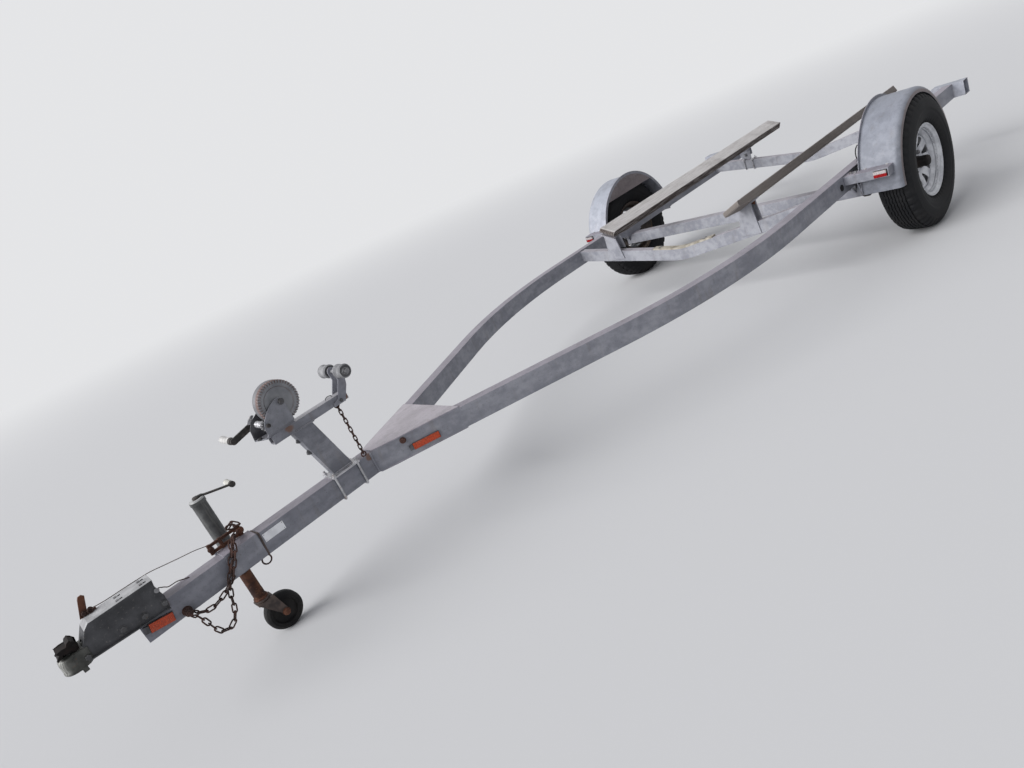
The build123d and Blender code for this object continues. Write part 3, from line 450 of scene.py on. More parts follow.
def gear_grey():
    """Pressed gear: dull grey zinc, its faces a little paler than its band, with a brown tint round the
    slots that is rust and painted shade in them.
    """
    f = Finish("gear_zinc", 0.45)
    clouds = f.noise(28.0, 7.0)
    fine = f.noise(170.0, 5.0)
    face = f.step(f.math("ABSOLUTE", f.part(f.facing, 1), 0.0), 0.5, 0.9)
    band = f.split(clouds, 0.3, 0.7, (0.15, 0.15, 0.16), (0.235, 0.235, 0.25))
    front = f.split(clouds, 0.3, 0.7, (0.16, 0.165, 0.18), (0.25, 0.255, 0.27))
    metal = f.mix(face, band, front)
    # rust and painted shade: a brown tint on the band near the front face, where the slots are
    at = f.part(f.place, 1)
    tint = f.math("MULTIPLY", f.step(at, 0.028, 0.04), f.math("SUBTRACT", 1.0, face))
    metal = f.mix(f.math("MULTIPLY", tint, 0.6), metal, (0.17, 0.085, 0.065))
    return f.made(
        f.over(metal, (0.12, 0.09, 0.08), fine, 0.6, 0.75, 0.3),
        rough=(clouds, 0.4, 0.7),
        bump=(fine, 0.0004, 0.001),
    )


def tube_finish():
    """The jockey wheel's outer tube: dark grey-green zinc and a pale cap."""
    f = Finish("jockey_tube_zinc", 0.3)
    clouds = f.noise(18.0, 8.0)
    fine = f.noise(140.0, 5.0)
    wall = f.split(clouds, 0.36, 0.66, (0.05, 0.051, 0.052), (0.125, 0.128, 0.13))
    up = f.step(f.part(f.facing, 2), 0.5, 0.9)
    metal = f.mix(up, wall, (0.58, 0.58, 0.58))
    streaks = f.noise(1.0, 5.0, f.stretched(90.0, 90.0, 6.0))
    metal = f.over(metal, (0.2, 0.2, 0.19), streaks, 0.52, 0.7, 0.4)
    return f.made(metal, rough=(clouds, 0.4, 0.7), bump=(fine, 0.0005, 0.0012))


def plain(name, base, second, low, high, scale=40.0, **shader):
    """Two close tones, for small pieces: paint, plastic or plate."""
    f = Finish(name, **shader)
    clouds = f.noise(scale, 6.0)
    return f.made(
        f.split(clouds, 0.35, 0.65, base, second),
        rough=(clouds, low, high),
        bump=(f.noise(scale * 5, 4.0), 0.0003, 0.0008),
    )


# Each zinc's third colour is the painted highlight on its upward faces.
FRAME_ZINC = galvanised("frame_zinc", (0.195, 0.2, 0.232), (0.29, 0.295, 0.33), (0.34, 0.315, 0.36))
DRAWBAR_ZINC = galvanised(
    "drawbar_zinc", (0.165, 0.17, 0.2), (0.245, 0.25, 0.285), (0.31, 0.29, 0.33),
    spots=(((2.76, 0.03, 0.414), 0.02), ((3.53, 0.03, 0.41), 0.018)),
)
GUSSET_ZINC = galvanised("gusset_zinc", (0.2, 0.2, 0.23), (0.3, 0.3, 0.33), (0.54, 0.5, 0.54))
CROSS_ZINC = galvanised("cross_zinc", (0.25, 0.255, 0.29), (0.36, 0.365, 0.4), (0.42, 0.4, 0.44))
# painted shade with a brown ground reflection, for the guards' flat faces that look along Y
HALF_MOON_WALL_SHADE = (0.21, 0.18, 0.185)
GUARD_ZINC = galvanised(
    "guard_zinc", (0.3, 0.315, 0.365), (0.41, 0.42, 0.47), (0.4, 0.42, 0.48), 0.2, wall=HALF_MOON_WALL_SHADE
)
# a darker copy of the guard zinc: painted shade on the near guard
SHADED_NEAR_GUARD_ZINC = galvanised(
    "shaded_near_guard_zinc", (0.16, 0.17, 0.2), (0.24, 0.25, 0.285), (0.29, 0.305, 0.355), 0.2, wall=HALF_MOON_WALL_SHADE
)
POST_ZINC = galvanised("post_zinc", (0.15, 0.155, 0.18), (0.25, 0.255, 0.285), (0.5, 0.49, 0.52), 0.35)
BEAM_ZINC = galvanised(
    "beam_zinc", (0.16, 0.165, 0.19), (0.26, 0.265, 0.3), (0.52, 0.51, 0.54), 0.35,
    spots=(((2.95, 0.02, 0.652), 0.017), ((2.728, 0.02, 0.64), 0.012)),
)
CHEEK_ZINC = galvanised("cheek_zinc", (0.17, 0.175, 0.2), (0.25, 0.255, 0.285), (0.26, 0.26, 0.29), 0.2)
RUST = rusty("rust", (0.05, 0.022, 0.015), (0.13, 0.052, 0.03), (0.27, 0.15, 0.11))
CHAIN_RUST = rusty(
    "chain_rust", (0.022, 0.012, 0.011), (0.07, 0.032, 0.025), (0.24, 0.15, 0.12), 0.35, 260.0
)
STEM_RUST = rusty("stem_rust", (0.026, 0.01, 0.008), (0.105, 0.042, 0.022), (0.36, 0.2, 0.12), 0.3, 90.0)
DRUM_BLACK = rusty("drum_black", (0.01, 0.009, 0.009), (0.028, 0.022, 0.02), (0.09, 0.07, 0.06), 0.15)
ARM_BLACK = rusty("arm_black", (0.018, 0.017, 0.017), (0.055, 0.042, 0.035), (0.16, 0.12, 0.1))
TYRE_BLACK = rubber("tyre_black", (0.0075, 0.008, 0.0095), (0.034, 0.032, 0.031), 320.0, 0.3)
WHEEL_BLACK = rubber("wheel_black", (0.01, 0.01, 0.011), (0.07, 0.065, 0.06), 240.0, 0.3)
SHEATH = rubber("sheath_black", (0.012, 0.012, 0.013), (0.05, 0.05, 0.05), 400.0, 0.2)
RIM = rim_paint()
BUNK_DARK = wood("bunk_dark", (0.2, 0.178, 0.165), (0.36, 0.335, 0.32), (0.15, 0.13, 0.118))
BUNK_PALE = wood("bunk_pale", (0.055, 0.042, 0.038), (0.66, 0.635, 0.625), (0.4, 0.37, 0.355))
PAD = pad()
ORANGE = reflector("reflector_orange", (0.6, 0.075, 0.02))
LENS_RED = reflector("lens_red", (0.45, 0.012, 0.015))
LENS_WHITE = reflector("lens_white", (0.72, 0.66, 0.66))
HOUSING = housing_steel()
HEAD = head_iron()
ROLLER = roller_grey()
JOCKEY_CRANK = crank_finish()
WINCH_CRANK = winch_crank_finish()
GEAR = gear_grey()
TUBE = tube_finish()
DARK_NUT = zinc("dark_nut", (0.1, 0.1, 0.105), (0.07, 0.045, 0.035))
ZINC = zinc("zinc", (0.55, 0.55, 0.57), (0.22, 0.14, 0.1))
DULL_ZINC = zinc("dull_zinc", (0.24, 0.24, 0.25), (0.13, 0.07, 0.05))
BLACK = plain("handle_black", (0.005, 0.004, 0.004), (0.018, 0.012, 0.011), 0.6, 0.9, 50.0, specular=0.2)
PLATE = plain("plate_white", (0.74, 0.75, 0.78), (0.88, 0.89, 0.92), 0.4, 0.6)
FORK = plain("fork_brown", (0.028, 0.019, 0.017), (0.095, 0.068, 0.058), 0.45, 0.8, 30.0)
HOLDER = plain("holder_grey", (0.045, 0.045, 0.05), (0.11, 0.11, 0.12), 0.5, 0.8)


class Shape:
    """Faces gathered for one piece, drawn level as the frame is."""

    def __init__(self):
        self.mesh = bmesh.new()

    def strip(self, rings, closed_ring=True, closed_path=False, caps=True):
        """Join rings of points into a skin."""
        made = [[self.mesh.verts.new(p) for p in ring] for ring in rings]
        pairs = list(zip(made, made[1:]))
        if closed_path:
            pairs.append((made[-1], made[0]))
        count = len(made[0])
        for a, b in pairs:
            for i in range(count if closed_ring else count - 1):
                j = (i + 1) % count
                self.mesh.faces.new((a[i], a[j], b[j], b[i]))
        if caps and closed_ring and not closed_path:
            self.mesh.faces.new(reversed(made[0]))
            self.mesh.faces.new(made[-1])

    def tube(self, points, radius, sides=8, closed=False, across=None, flat=1.0):
        """A round or flat bar along points; radius is one value or one for each point."""
        points = [Vector(p) for p in points]
        count = len(points)
        radii = radius if isinstance(radius, list) else [radius] * count
        rings = []
        side = None
        for i, at in enumerate(points):
            ahead = points[(i + 1) % count] if closed or i + 1 < count else at
            behind = points[i - 1] if closed or i else at
            along = (ahead - behind).normalized()
            if side is None:
                side = Vector(across) if across else along.orthogonal()
            side = (side - along * side.dot(along)).normalized()
            up = along.cross(side)
            ring = []
            for k in range(sides):
                a = 2 * math.pi * k / sides
                ring.append(at + radii[i] * (math.cos(a) * side + flat * math.sin(a) * up))
            rings.append(ring)
        self.strip(rings, closed_path=closed)

    def lathe(self, profile, at, axis, steps=24):
        """Turn (radius, height) points about an axis through a place."""
        axis = Vector(axis).normalized()
        side = axis.orthogonal().normalized()
        up = axis.cross(side)
        at = Vector(at)
        rings = []
        for r, h in profile:
            ring = []
            for k in range(steps):
                a = 2 * math.pi * k / steps
                ring.append(at + axis * h + max(r, 1e-5) * (math.cos(a) * side + math.sin(a) * up))
            rings.append(ring)
        self.strip(rings, caps=profile[0] != profile[-1])

    def ring(self, at, radius, wire, count=12, sides=8):
        """A closed round bar about a place, in the plane of X and Z."""
        x, y, z = at
        line = [(x + radius * math.cos(a), y, z + radius * math.sin(a)) for a in circle(count)]
        self.tube(line, wire, sides, closed=True, across=Y_AXIS)

    def prism(self, outline, at, u, v, depth):
        """A plate from an outline in the plane of u and v, thick towards u x v."""
        at, u, v = Vector(at), Vector(u).normalized(), Vector(v).normalized()
        out = u.cross(v) * depth
        low = [at + u * a + v * b for a, b in outline]
        self.strip([low, [p + out for p in low]])

    def plate(self, outline, y, depth):
        """An upright plate from an outline in X and Z; a positive depth goes towards -Y."""
        self.prism(outline, (0, y, 0), X_AXIS, Z_AXIS, depth)

    def done(self, name, material, body="chassis", smooth=38.0):
        """Make the piece, lean it with the trailer and let it ride on its body."""
        bmesh.ops.remove_doubles(self.mesh, verts=self.mesh.verts, dist=2e-5)
        bmesh.ops.recalc_face_normals(self.mesh, faces=self.mesh.faces)
        mesh = bpy.data.meshes.new(name)
        self.mesh.to_mesh(mesh)
        self.mesh.free()
        mesh.transform(LEAN)
        mesh.materials.append(material)
        mesh.polygons.foreach_set("use_smooth", [True] * len(mesh.polygons))
        mesh.set_sharp_from_angle(angle=math.radians(smooth))
        piece = bpy.data.objects.new(name, mesh)
        bpy.context.scene.collection.objects.link(piece)
        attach(piece, body)
        return piece


def circle(count):
    """Angles round a full turn."""
    return [2 * math.pi * k / count for k in range(count)]


def bolt(shape, at, axis, thread, stud=0.0, washer=True):
    """A washer and a hexagon head or nut, with the thread's end beyond it."""
    at, axis = Vector(at), Vector(axis).normalized()
    lift = 0.0
    if washer:
        lift = 0.18 * thread
        shape.lathe([(0, 0), (1.08 * thread, 0), (1.08 * thread, lift), (0, lift)], at, axis, 20)
    corner = 0.92 * thread
    high = lift + 0.7 * thread
    head = [(0, lift), (corner, lift), (corner, high - 0.12 * thread), (0.84 * corner, high), (0, high)]
    shape.lathe(head, at, axis, 6)
    if stud:
        turns = max(2, int(stud / 0.0016))
        profile = [(0, high)]
        for i in range(turns):
            profile.append((0.5 * thread, high + stud * i / turns))
            profile.append((0.44 * thread, high + stud * (i + 0.5) / turns))
        shape.lathe(profile + [(0, high + stud)], at, axis, 10)


def dome(shape, at, axis, radius):
    """The low round head of a coach bolt."""
    profile = [(radius * math.cos(a), 0.45 * radius * math.sin(a)) for a in (0.0, 0.4, 0.8, 1.2)]
    shape.lathe([(0, -0.001)] + profile + [(0, 0.45 * radius)], at, axis, 16)


def weld(shape, start, end, radius=0.0032):
    """A rippled weld bead between two points."""
    start, end = Vector(start), Vector(end)
    count = max(4, int((end - start).length / 0.0028))
    points = [start.lerp(end, i / count) for i in range(count + 1)]
    radii = [radius * (1.0 + 0.16 * math.sin(2.2 * i)) for i in range(count + 1)]
    radii[0] = radii[-1] = 0.55 * radius
    shape.tube(points, radii, 7)


def rail_face(x, out):
    """A point's Y beside the rail's straight front part: 0 is its middle line."""
    return (JOIN_X - x) * math.tan(SPLAY) + out / math.cos(SPLAY)


def bunk_point(side, x, across, lift):
    """A point over a bunk's upper face; across runs down its tilt, outward."""
    y = side * (BUNK_Y + across * math.cos(BUNK_TILT) - lift * math.sin(BUNK_TILT))
    return (x, y, BUNK_TOP_Z + across * math.sin(BUNK_TILT) + lift * math.cos(BUNK_TILT))


def bunk_normal(side):
    """The way a bunk's upper face looks."""
    return Vector((0, -side * math.sin(BUNK_TILT), math.cos(BUNK_TILT)))


# tyre: (half width, radius) from the middle of the tread to the bead, in millimetres
TREAD = [
    (0, 305), (1.5, 305), (2.3, 312), (12, 312), (12.8, 305), (15, 305), (15.8, 311.8), (25.5, 311.4),
    (26.3, 304), (28.6, 304), (29.4, 311), (39, 309.4), (40, 302), (43, 302), (44, 308), (55, 305),
    (65, 296.5), (71, 287), (76, 276), (77.5, 275), (80.5, 262), (83, 247), (84, 234), (83.8, 231),
    (82.6, 229), (82.2, 219), (80.6, 206), (79, 203), (78.4, 200), (73, 187), (66, 178), (60, 173),
    (54, 168), (48, 158), (44, 154),
]
TYRE_STEPS = 288


def tread_point(w, r, row):
    """Notch the shoulders, zigzag the grooves and cut fine sipes, by the row round the tyre."""
    if 12 <= w <= 40:
        w += 1.1 if (row // 3) % 2 else -1.1
    if row % 6 in (0, 1) and 43 < w <= 71:
        r -= 6.5
    if row % 4 == 2 and r > 311 and w > 2.2:
        r -= 2.5
    if row % 3 == 0 and 76 <= w <= 81:
        w -= 0.5
    return w / 1000, r / 1000


def tyre(name, side):
    """The tread and both side walls, swept round the axle."""
    shape = Shape()
    rings = []
    for row in range(TYRE_STEPS):
        a = 2 * math.pi * row / TYRE_STEPS
        half = [tread_point(w, r, row) for w, r in TREAD]
        other = [tread_point(w, r, row + 4) for w, r in TREAD[1:]]
        outline = [(-w, r) for w, r in reversed(other)] + half
        rings.append([
            Vector((r * math.sin(a), side * WHEEL_Y + w, AXLE_Z + r * math.cos(a))) for w, r in outline
        ])
    shape.strip(rings, closed_path=True)
    piece = shape.done(f"{name}_treaded_tyre", TYRE_BLACK, f"{name}_wheel", 30.0)
    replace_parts(piece, f"{name}_tyre")


# rim's section and disc's section: (radius, distance out from the wheel's middle), in millimetres
BARREL = [
    (169, 61), (167, 55), (152.5, 50), (151.5, 30), (134, 18), (134, -14), (151.5, -32), (152.5, -50),
    (167, -55),
    (168, -62), (164, -62), (162, -58), (149, -52), (148, -35), (130.5, -17), (130.5, 20), (133, 24),
    (140, 31),
    (145, 35), (145.5, 42), (148.2, 44), (149, 50), (151, 53), (161, 57), (163.5, 62), (166, 64),
    (168.5, 63.5), (169, 61),
]
DISC = [
    (30, 5), (62, 5), (70, 10), (74, 12), (82, 15.5), (90, 18.5), (98, 20.5), (106, 22), (112, 22.7),
    (115, 23),
    (119, 23), (124, 21), (131, 13),
]
DISC_T = 3.5
WINDOWS = 8
SECTOR_COLUMNS = 24
WINDOW_COLUMNS = 4
WINDOW_TURN = 161.0
WINDOW_R = (70, 115)
WINDOW_HALF = (4.0, 23.0)


def window_edge(r):
    """Half the angle of a window at a radius, in degrees: narrow inside, broad outside."""
    low, high = WINDOW_R
    share = min(1.0, max(0.0, (r - low) / (high - low)))
    half = WINDOW_HALF[0] + (WINDOW_HALF[1] - WINDOW_HALF[0]) * share ** 0.8
    if share > 0.9:
        half -= 5.0 * (share - 0.9) / 0.1
    return math.degrees(half / max(r, low))


def rim(name, side):
    """A stepped rim and its dished disc with eight rounded three-cornered windows."""
    shape = Shape()
    centre = Vector((0, side * WHEEL_Y, AXLE_Z))
    shape.lathe([(r / 1000, h / 1000) for r, h in BARREL], centre, (0, side, 0), 96)
    sector = 360 / WINDOWS
    half_sector = SECTOR_COLUMNS // 2
    columns = WINDOWS * SECTOR_COLUMNS
    places = {}

    def vert(i, k, layer):
        """A point of row i and column k, on the front or the back of the disc."""
        k %= columns
        if (i, k, layer) not in places:
            r, h = DISC[i]
            j = k % SECTOR_COLUMNS - half_sector
            edge = window_edge(r)
            off = edge * min(abs(j), WINDOW_COLUMNS) / WINDOW_COLUMNS
            past = max(0, abs(j) - WINDOW_COLUMNS) / (half_sector - WINDOW_COLUMNS)
            off += (sector / 2 - edge) * past
            a = math.radians(WINDOW_TURN + sector * (k // SECTOR_COLUMNS) + math.copysign(off, j))
            at = Vector((side * r * math.cos(a), side * (h - layer * DISC_T), r * math.sin(a))) / 1000
            places[i, k, layer] = shape.mesh.verts.new(centre + at)
        return places[i, k, layer]

    def solid(i, k):
        """Whether the disc has metal between this row and column and the next."""
        in_columns = -WINDOW_COLUMNS <= k % SECTOR_COLUMNS - half_sector < WINDOW_COLUMNS
        in_rows = WINDOW_R[0] <= DISC[i][0] < WINDOW_R[1]
        return 0 <= i < len(DISC) - 1 and not (in_rows and in_columns)

    for i in range(len(DISC) - 1):
        for k in range(columns):
            if not solid(i, k):
                continue
            low, low_next, high, high_next = (i, k), (i, k + 1), (i + 1, k), (i + 1, k + 1)
            for layer in (0, 1):
                shape.mesh.faces.new([vert(*at, layer) for at in (low, low_next, high_next, high)])
            sides = (
                ((i - 1, k), low, low_next), ((i + 1, k), high, high_next),
                ((i, k - 1), low, high), ((i, k + 1), low_next, high_next),
            )
            for beyond, a, b in sides:
                if not solid(*beyond):
                    shape.mesh.faces.new([vert(*a, 0), vert(*b, 0), vert(*b, 1), vert(*a, 1)])
    piece = shape.done(f"{name}_spoked_rim", RIM, f"{name}_wheel", 30.0)
    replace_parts(piece, f"{name}_rim")


def wheel_fittings(name, side):
    """Wheel nuts on their studs."""
    shape = Shape()
    face = side * (WHEEL_Y + DISC_Y)
    for i in range(STUD_COUNT):
        a = math.radians(360 / STUD_COUNT * i + STUD_TURN)
        a = a if side > 0 else math.pi - a
        at = (STUD_CIRCLE_R * math.cos(a), face, AXLE_Z - STUD_CIRCLE_R * math.sin(a))
        shape.lathe([(0, 0), (0.011, 0), (0.0105, 0.003), (0, 0.003)], at, (0, side, 0), 18)
        bolt(shape, Vector(at) + Vector((0, side * 0.003, 0)), (0, side, 0), 0.0105, 0.004, False)
    shape.done(f"{name}_wheel_nuts", DULL_ZINC, f"{name}_wheel")


def guard_fittings(name, side):
    """The guard's upright inner rim, its bolts and the rivets of the half-moon wall."""
    shape = Shape()
    rings = []
    for k in range(61):
        a = math.radians(3 * k)
        rings.append([
            Vector((r * math.cos(a), side * y, AXLE_Z + r * math.sin(a)))
            for r, y in ((0.337, 0.7795), (0.354, 0.7795), (0.354, 0.782), (0.337, 0.782))
        ])
    shape.strip(rings)
    shape.done(f"{name}_guard_rim", FRAME_ZINC)
    shape = Shape()
    for fore in (1, -1):
        a = math.radians(17)
        out = Vector((fore * math.cos(a), 0, math.sin(a)))
        for y in (0.806, 0.9):
            bolt(shape, Vector((0, side * y, AXLE_Z)) + out * 0.34, out, 0.008)
        for y in (0.752, 0.772):
            bolt(shape, (fore * 0.353, side * y, 0.416), Z_AXIS, 0.008)
    for degrees in (52, 71, 90, 109, 128):
        a = math.radians(degrees)
        at = Vector((0.327 * math.cos(a), side * 0.78, AXLE_Z + 0.327 * math.sin(a)))
        dome(shape, at, (0, -side, 0), 0.0055)
    shape.done(f"{name}_guard_bolts", DULL_ZINC)


def marker_lamp(name, side):
    """A block lamp: black foot, ribbed white half over a ribbed red half."""
    foot = Shape()
    face = [(0.862, 0.381), (0.92, 0.381), (0.92, 0.411), (0.862, 0.411)]
    foot.prism(face, (0.388, 0, 0), (0, side, 0), Z_AXIS, side * 0.004)
    piece = foot.done(f"{name}_lamp_foot", BLACK)
    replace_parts(piece, f"{name}_marker_lamp")
    halves = {"red": (0.3825, 0.3965, LENS_RED), "white": (0.3965, 0.4095, LENS_WHITE)}
    for tone, (low, high, material) in halves.items():
        lens = Shape()
        ribs = 13
        rings = []
        for i in range(2 * ribs + 1):
            y = side * (0.864 + 0.054 * i / (2 * ribs))
            front = 0.4015 if i % 2 else 0.3995
            section = ((0.391, low), (front, low), (front, high), (0.391, high))
            rings.append([Vector((x, y, z)) for x, z in section])
        lens.strip(rings)
        lens.done(f"{name}_lens_{tone}", material, smooth=20.0)


def link(shape, at, along, flat, size):
    """One long-wire link: a closed bar with two half-round ends."""
    wire, _, half_l, half_w = size
    points = []
    for end in (1, -1):
        for k in range(7):
            a = math.radians(-90 + 30 * k) if end > 0 else math.radians(90 + 30 * k)
            forward = end * (half_l - half_w) + half_w * math.cos(a)
            points.append(at + along * forward + flat * half_w * math.sin(a))
    shape.tube(points, wire, 7, closed=True, across=along.cross(flat))


def smooth_line(points, count=10):
    """Points along a soft curve through the given ones."""
    points = [Vector(p) for p in points]
    line = []
    ends = [2 * points[0] - points[1]] + points + [2 * points[-1] - points[-2]]
    for p0, p1, p2, p3 in zip(ends, ends[1:], ends[2:], ends[3:]):
        for k in range(count):
            t = k / count
            line.append(
                0.5 * (2 * p1 + (p2 - p0) * t + (2 * p0 - 5 * p1 + 4 * p2 - p3) * t**2
                       + (3 * p1 - p0 - 3 * p2 + p3) * t**3)
            )
    return line + [points[-1]]


def chain(shape, points, across, size):
    """Links end in end along a curve, every second one turned a quarter."""
    line = smooth_line(points)
    step = size[1]
    joints = [line[0]]
    for at in line[1:]:
        if (at - joints[-1]).length >= step:
            joints.append(joints[-1] + (at - joints[-1]).normalized() * step)
    for i, (a, b) in enumerate(zip(joints, joints[1:])):
        along = (b - a).normalized()
        level = (Vector(across) - along * Vector(across).dot(along)).normalized()
        link(shape, (a + b) / 2, along, level if i % 2 else along.cross(level), size)


def safety_chain():
    """Two strands hang from a bolt under the drawbar, then run up its side and over its top."""
    side = DRAWBAR_HALF
    eye = (3.488, 0.042, 0.352)
    up = [(3.342, 0.041, 0.368), (3.327, 0.041, 0.392), (3.309, 0.042, 0.418), (3.297, 0.042, 0.437)]
    over = [(3.288, 0.026, 0.449), (3.274, 0.004, 0.446), (3.258, -0.018, 0.448), (3.243, -0.032, 0.456)]
    low = [
        eye, (3.478, 0.042, 0.335), (3.467, 0.042, 0.305), (3.459, 0.042, 0.275), (3.449, 0.042, 0.245),
        (3.432, 0.042, 0.23),
        (3.411, 0.042, 0.233), (3.392, 0.042, 0.252), (3.379, 0.042, 0.28), (3.371, 0.042, 0.312),
        (3.358, 0.042, 0.342),
    ]
    high = [
        eye, (3.474, 0.05, 0.341), (3.454, 0.052, 0.329), (3.434, 0.052, 0.323), (3.41, 0.052, 0.326),
        (3.384, 0.052, 0.336),
        (3.36, 0.052, 0.35),
    ]
    shape = Shape()
    chain(shape, low + up + over, Y_AXIS, SAFETY_LINK)
    second = [(x - 0.009, y + 0.01, z + 0.002) for x, y, z in up]
    crossing = [(x - 0.01, y, z + 0.008) for x, y, z in over]
    chain(shape, high + second + crossing, Y_AXIS, SAFETY_LINK)
    heap = [
        (3.262, -0.04, 0.47), (3.247, -0.052, 0.478), (3.23, -0.048, 0.47), (3.226, -0.034, 0.458),
        (3.24, -0.024, 0.468),
        (3.256, -0.02, 0.478), (3.268, -0.03, 0.48),
    ]
    chain(shape, heap, Z_AXIS, SAFETY_LINK)
    shape.done("safety_chain", CHAIN_RUST)
    shape = Shape()
    bolt(shape, (3.488, side, 0.356), Y_AXIS, 0.014, 0.0, True)
    shape.tube([(3.488, 0.026, 0.356), (3.488, 0.052, 0.356)], 0.006, 12)
    bolt(shape, (3.488, 0.05, 0.356), Y_AXIS, 0.012, 0.003, True)
    shape.done("chain_bolt", CHAIN_RUST)


def bow_chain():
    """A short chain from an eye under the winch beam to an eye on the drawbar."""
    shape = Shape()
    hang = [(2.762, 0.001, 0.622), (2.763, 0.006, 0.56), (2.766, 0.013, 0.5), (2.7715, 0.0255, 0.4255)]
    chain(shape, hang, X_AXIS, BOW_LINK)
    for x, y, z in ((2.762, 0.0, 0.6255), (2.772, 0.026, 0.4325)):
        eye = [(x + 0.009 * math.sin(a), y, z + 0.009 * math.cos(a)) for a in circle(10)]
        shape.tube(eye, 0.0028, 8, closed=True, across=Y_AXIS)
    shape.done("bow_chain", CHAIN_RUST)


def breakaway_cable():
    """A thin steel cable, held taut from the brake lever back to the jockey clamp."""
    shape = Shape()
    points = [
        (3.688, -0.0385, 0.512), (3.64, -0.0395, 0.505), (3.58, -0.0405, 0.503),
        (3.528, -0.04, 0.501),
        (3.5, -0.04, 0.4985), (3.46, -0.04, 0.4905), (3.417, -0.04, 0.482),
        (3.376, -0.04, 0.4745), (3.337, -0.037, 0.464),
    ]
    shape.tube(smooth_line(points, 6), 0.0012, 6)
    shape.ring((3.694, -0.0385, 0.511), 0.008, 0.0022, 8, 7)
    shape.done("breakaway_cable", CHAIN_RUST)
    shape = Shape()
    wire = [
        (3.513, -0.004, 0.456), (3.499, 0.002, 0.449), (3.489, -0.004, 0.44), (3.467, -0.016, 0.4345),
        (3.455, -0.02, 0.4305),
        (3.441, -0.016, 0.4262), (3.43, -0.008, 0.4256),
    ]
    shape.tube(smooth_line(wire, 5), 0.0016, 7)
    shape.done("bent_wire", CHAIN_RUST)


def clamp_bar():
    """Two rusted bars on the jockey clamp, tied at the front."""
    shape = Shape()
    for z in (0.4365, 0.46):
        bar = [(3.23, -0.034, z - 0.002), (3.27, -0.034, z), (3.337, -0.034, z)]
        shape.tube(bar, 0.0062, 4, across=(0, 1, 1), flat=1.0)
    for x in (3.337, 3.3, 3.236):
        shape.tube([(x, -0.034, 0.43), (x, -0.034, 0.466)], 0.006, 6)
    bolt(shape, (3.236, -0.028, 0.448), Y_AXIS, 0.012, 0.006)
    bolt(shape, (3.337, -0.028, 0.45), Y_AXIS, 0.009, 0.0)
    shape.done("clamp_bar", RUST)


def drawbar_strap():
    """A flat strap round the drawbar, with a ring under it."""
    shape = Shape()
    half, r = DRAWBAR_HALF, 0.0011
    loop = [
        (3.212, -half - r, 0.41), (3.211, -half, FRAME_TOP + r), (3.209, 0.0, FRAME_TOP + r + 0.0005),
        (3.207, half, FRAME_TOP + r),
        (3.207, half + r, 0.408), (3.209, half + r, 0.38), (3.211, half + r, 0.352),
        (3.212, half, FRAME_BOTTOM - r),
        (3.212, 0.0, FRAME_BOTTOM - r - 0.0005), (3.212, -half, FRAME_BOTTOM - r),
        (3.212, -half - r, 0.38),
    ]
    line = smooth_line(loop + loop[:1], 4)[:-1]
    shape.tube(line, 0.0036, 8, closed=True, across=X_AXIS, flat=0.3)
    shape.done("drawbar_strap", FORK)
    shape = Shape()
    shape.ring((3.224, 0.024, 0.333), 0.0155, 0.0028, 14)
    shape.done("strap_ring", CHAIN_RUST)


def label_plate():
    """A blank riveted plate on the drawbar's left side."""
    shape = Shape()
    y = DRAWBAR_HALF
    low, high = 0.3835, 0.412
    outline = [(3.124, low), (3.199, low), (3.199, high), (3.124, high)]
    shape.plate(outline, y, -0.0012)
    shape.done("label_plate", PLATE)
    shape = Shape()
    for x in (3.128, 3.195):
        for z in (low + 0.004, high - 0.004):
            dome(shape, (x, y + 0.0012, z), Y_AXIS, 0.002)
    shape.done("label_rivets", ZINC)


def coupling_head():
    """The ball cup with its flat tapered top, its cheeks on the housing and the latch lug."""
    shape = Shape()
    x, low, top = BALL_X, 0.402, 0.4525
    shape.lathe(
        [(0.0255, low), (0.0385, low), (0.0405, low + 0.003), (0.0405, low + 0.008), (0.0392, low + 0.011),
         (0.0392, low + 0.032), (0.0375, top - 0.007), (0.034, top - 0.002), (0.028, top), (0, top),
         (0, top - 0.004),
         (0.0255, top - 0.012), (0.0255, low)],
        (x, 0, 0), Z_AXIS, 40,
    )
    for s in SIDES.values():
        cheek = [
            (3.7316, 0.4514), (3.7343, 0.411), (3.746, 0.4055), (3.772, low), (3.776, 0.446),
            (3.76, 0.4535),
        ]
        shape.plate(cheek, s * 0.0382, -s * 0.0026)
    roof = [(3.728, -0.034), (3.768, -0.036), (3.768, 0.036), (3.728, 0.034)]
    shape.prism(roof, (0, 0, 0.4475), X_AXIS, Y_AXIS, 0.0055)
    shape.plate([(3.757, 0.393), (3.771, 0.393), (3.771, 0.406), (3.757, 0.406)], 0.044, 0.009)
    shape.tube([(3.618, 0, 0.433), (3.742, 0, 0.433)], 0.0245, 20)
    head = shape.done("ball_head", HEAD)
    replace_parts(head, "coupling_head")


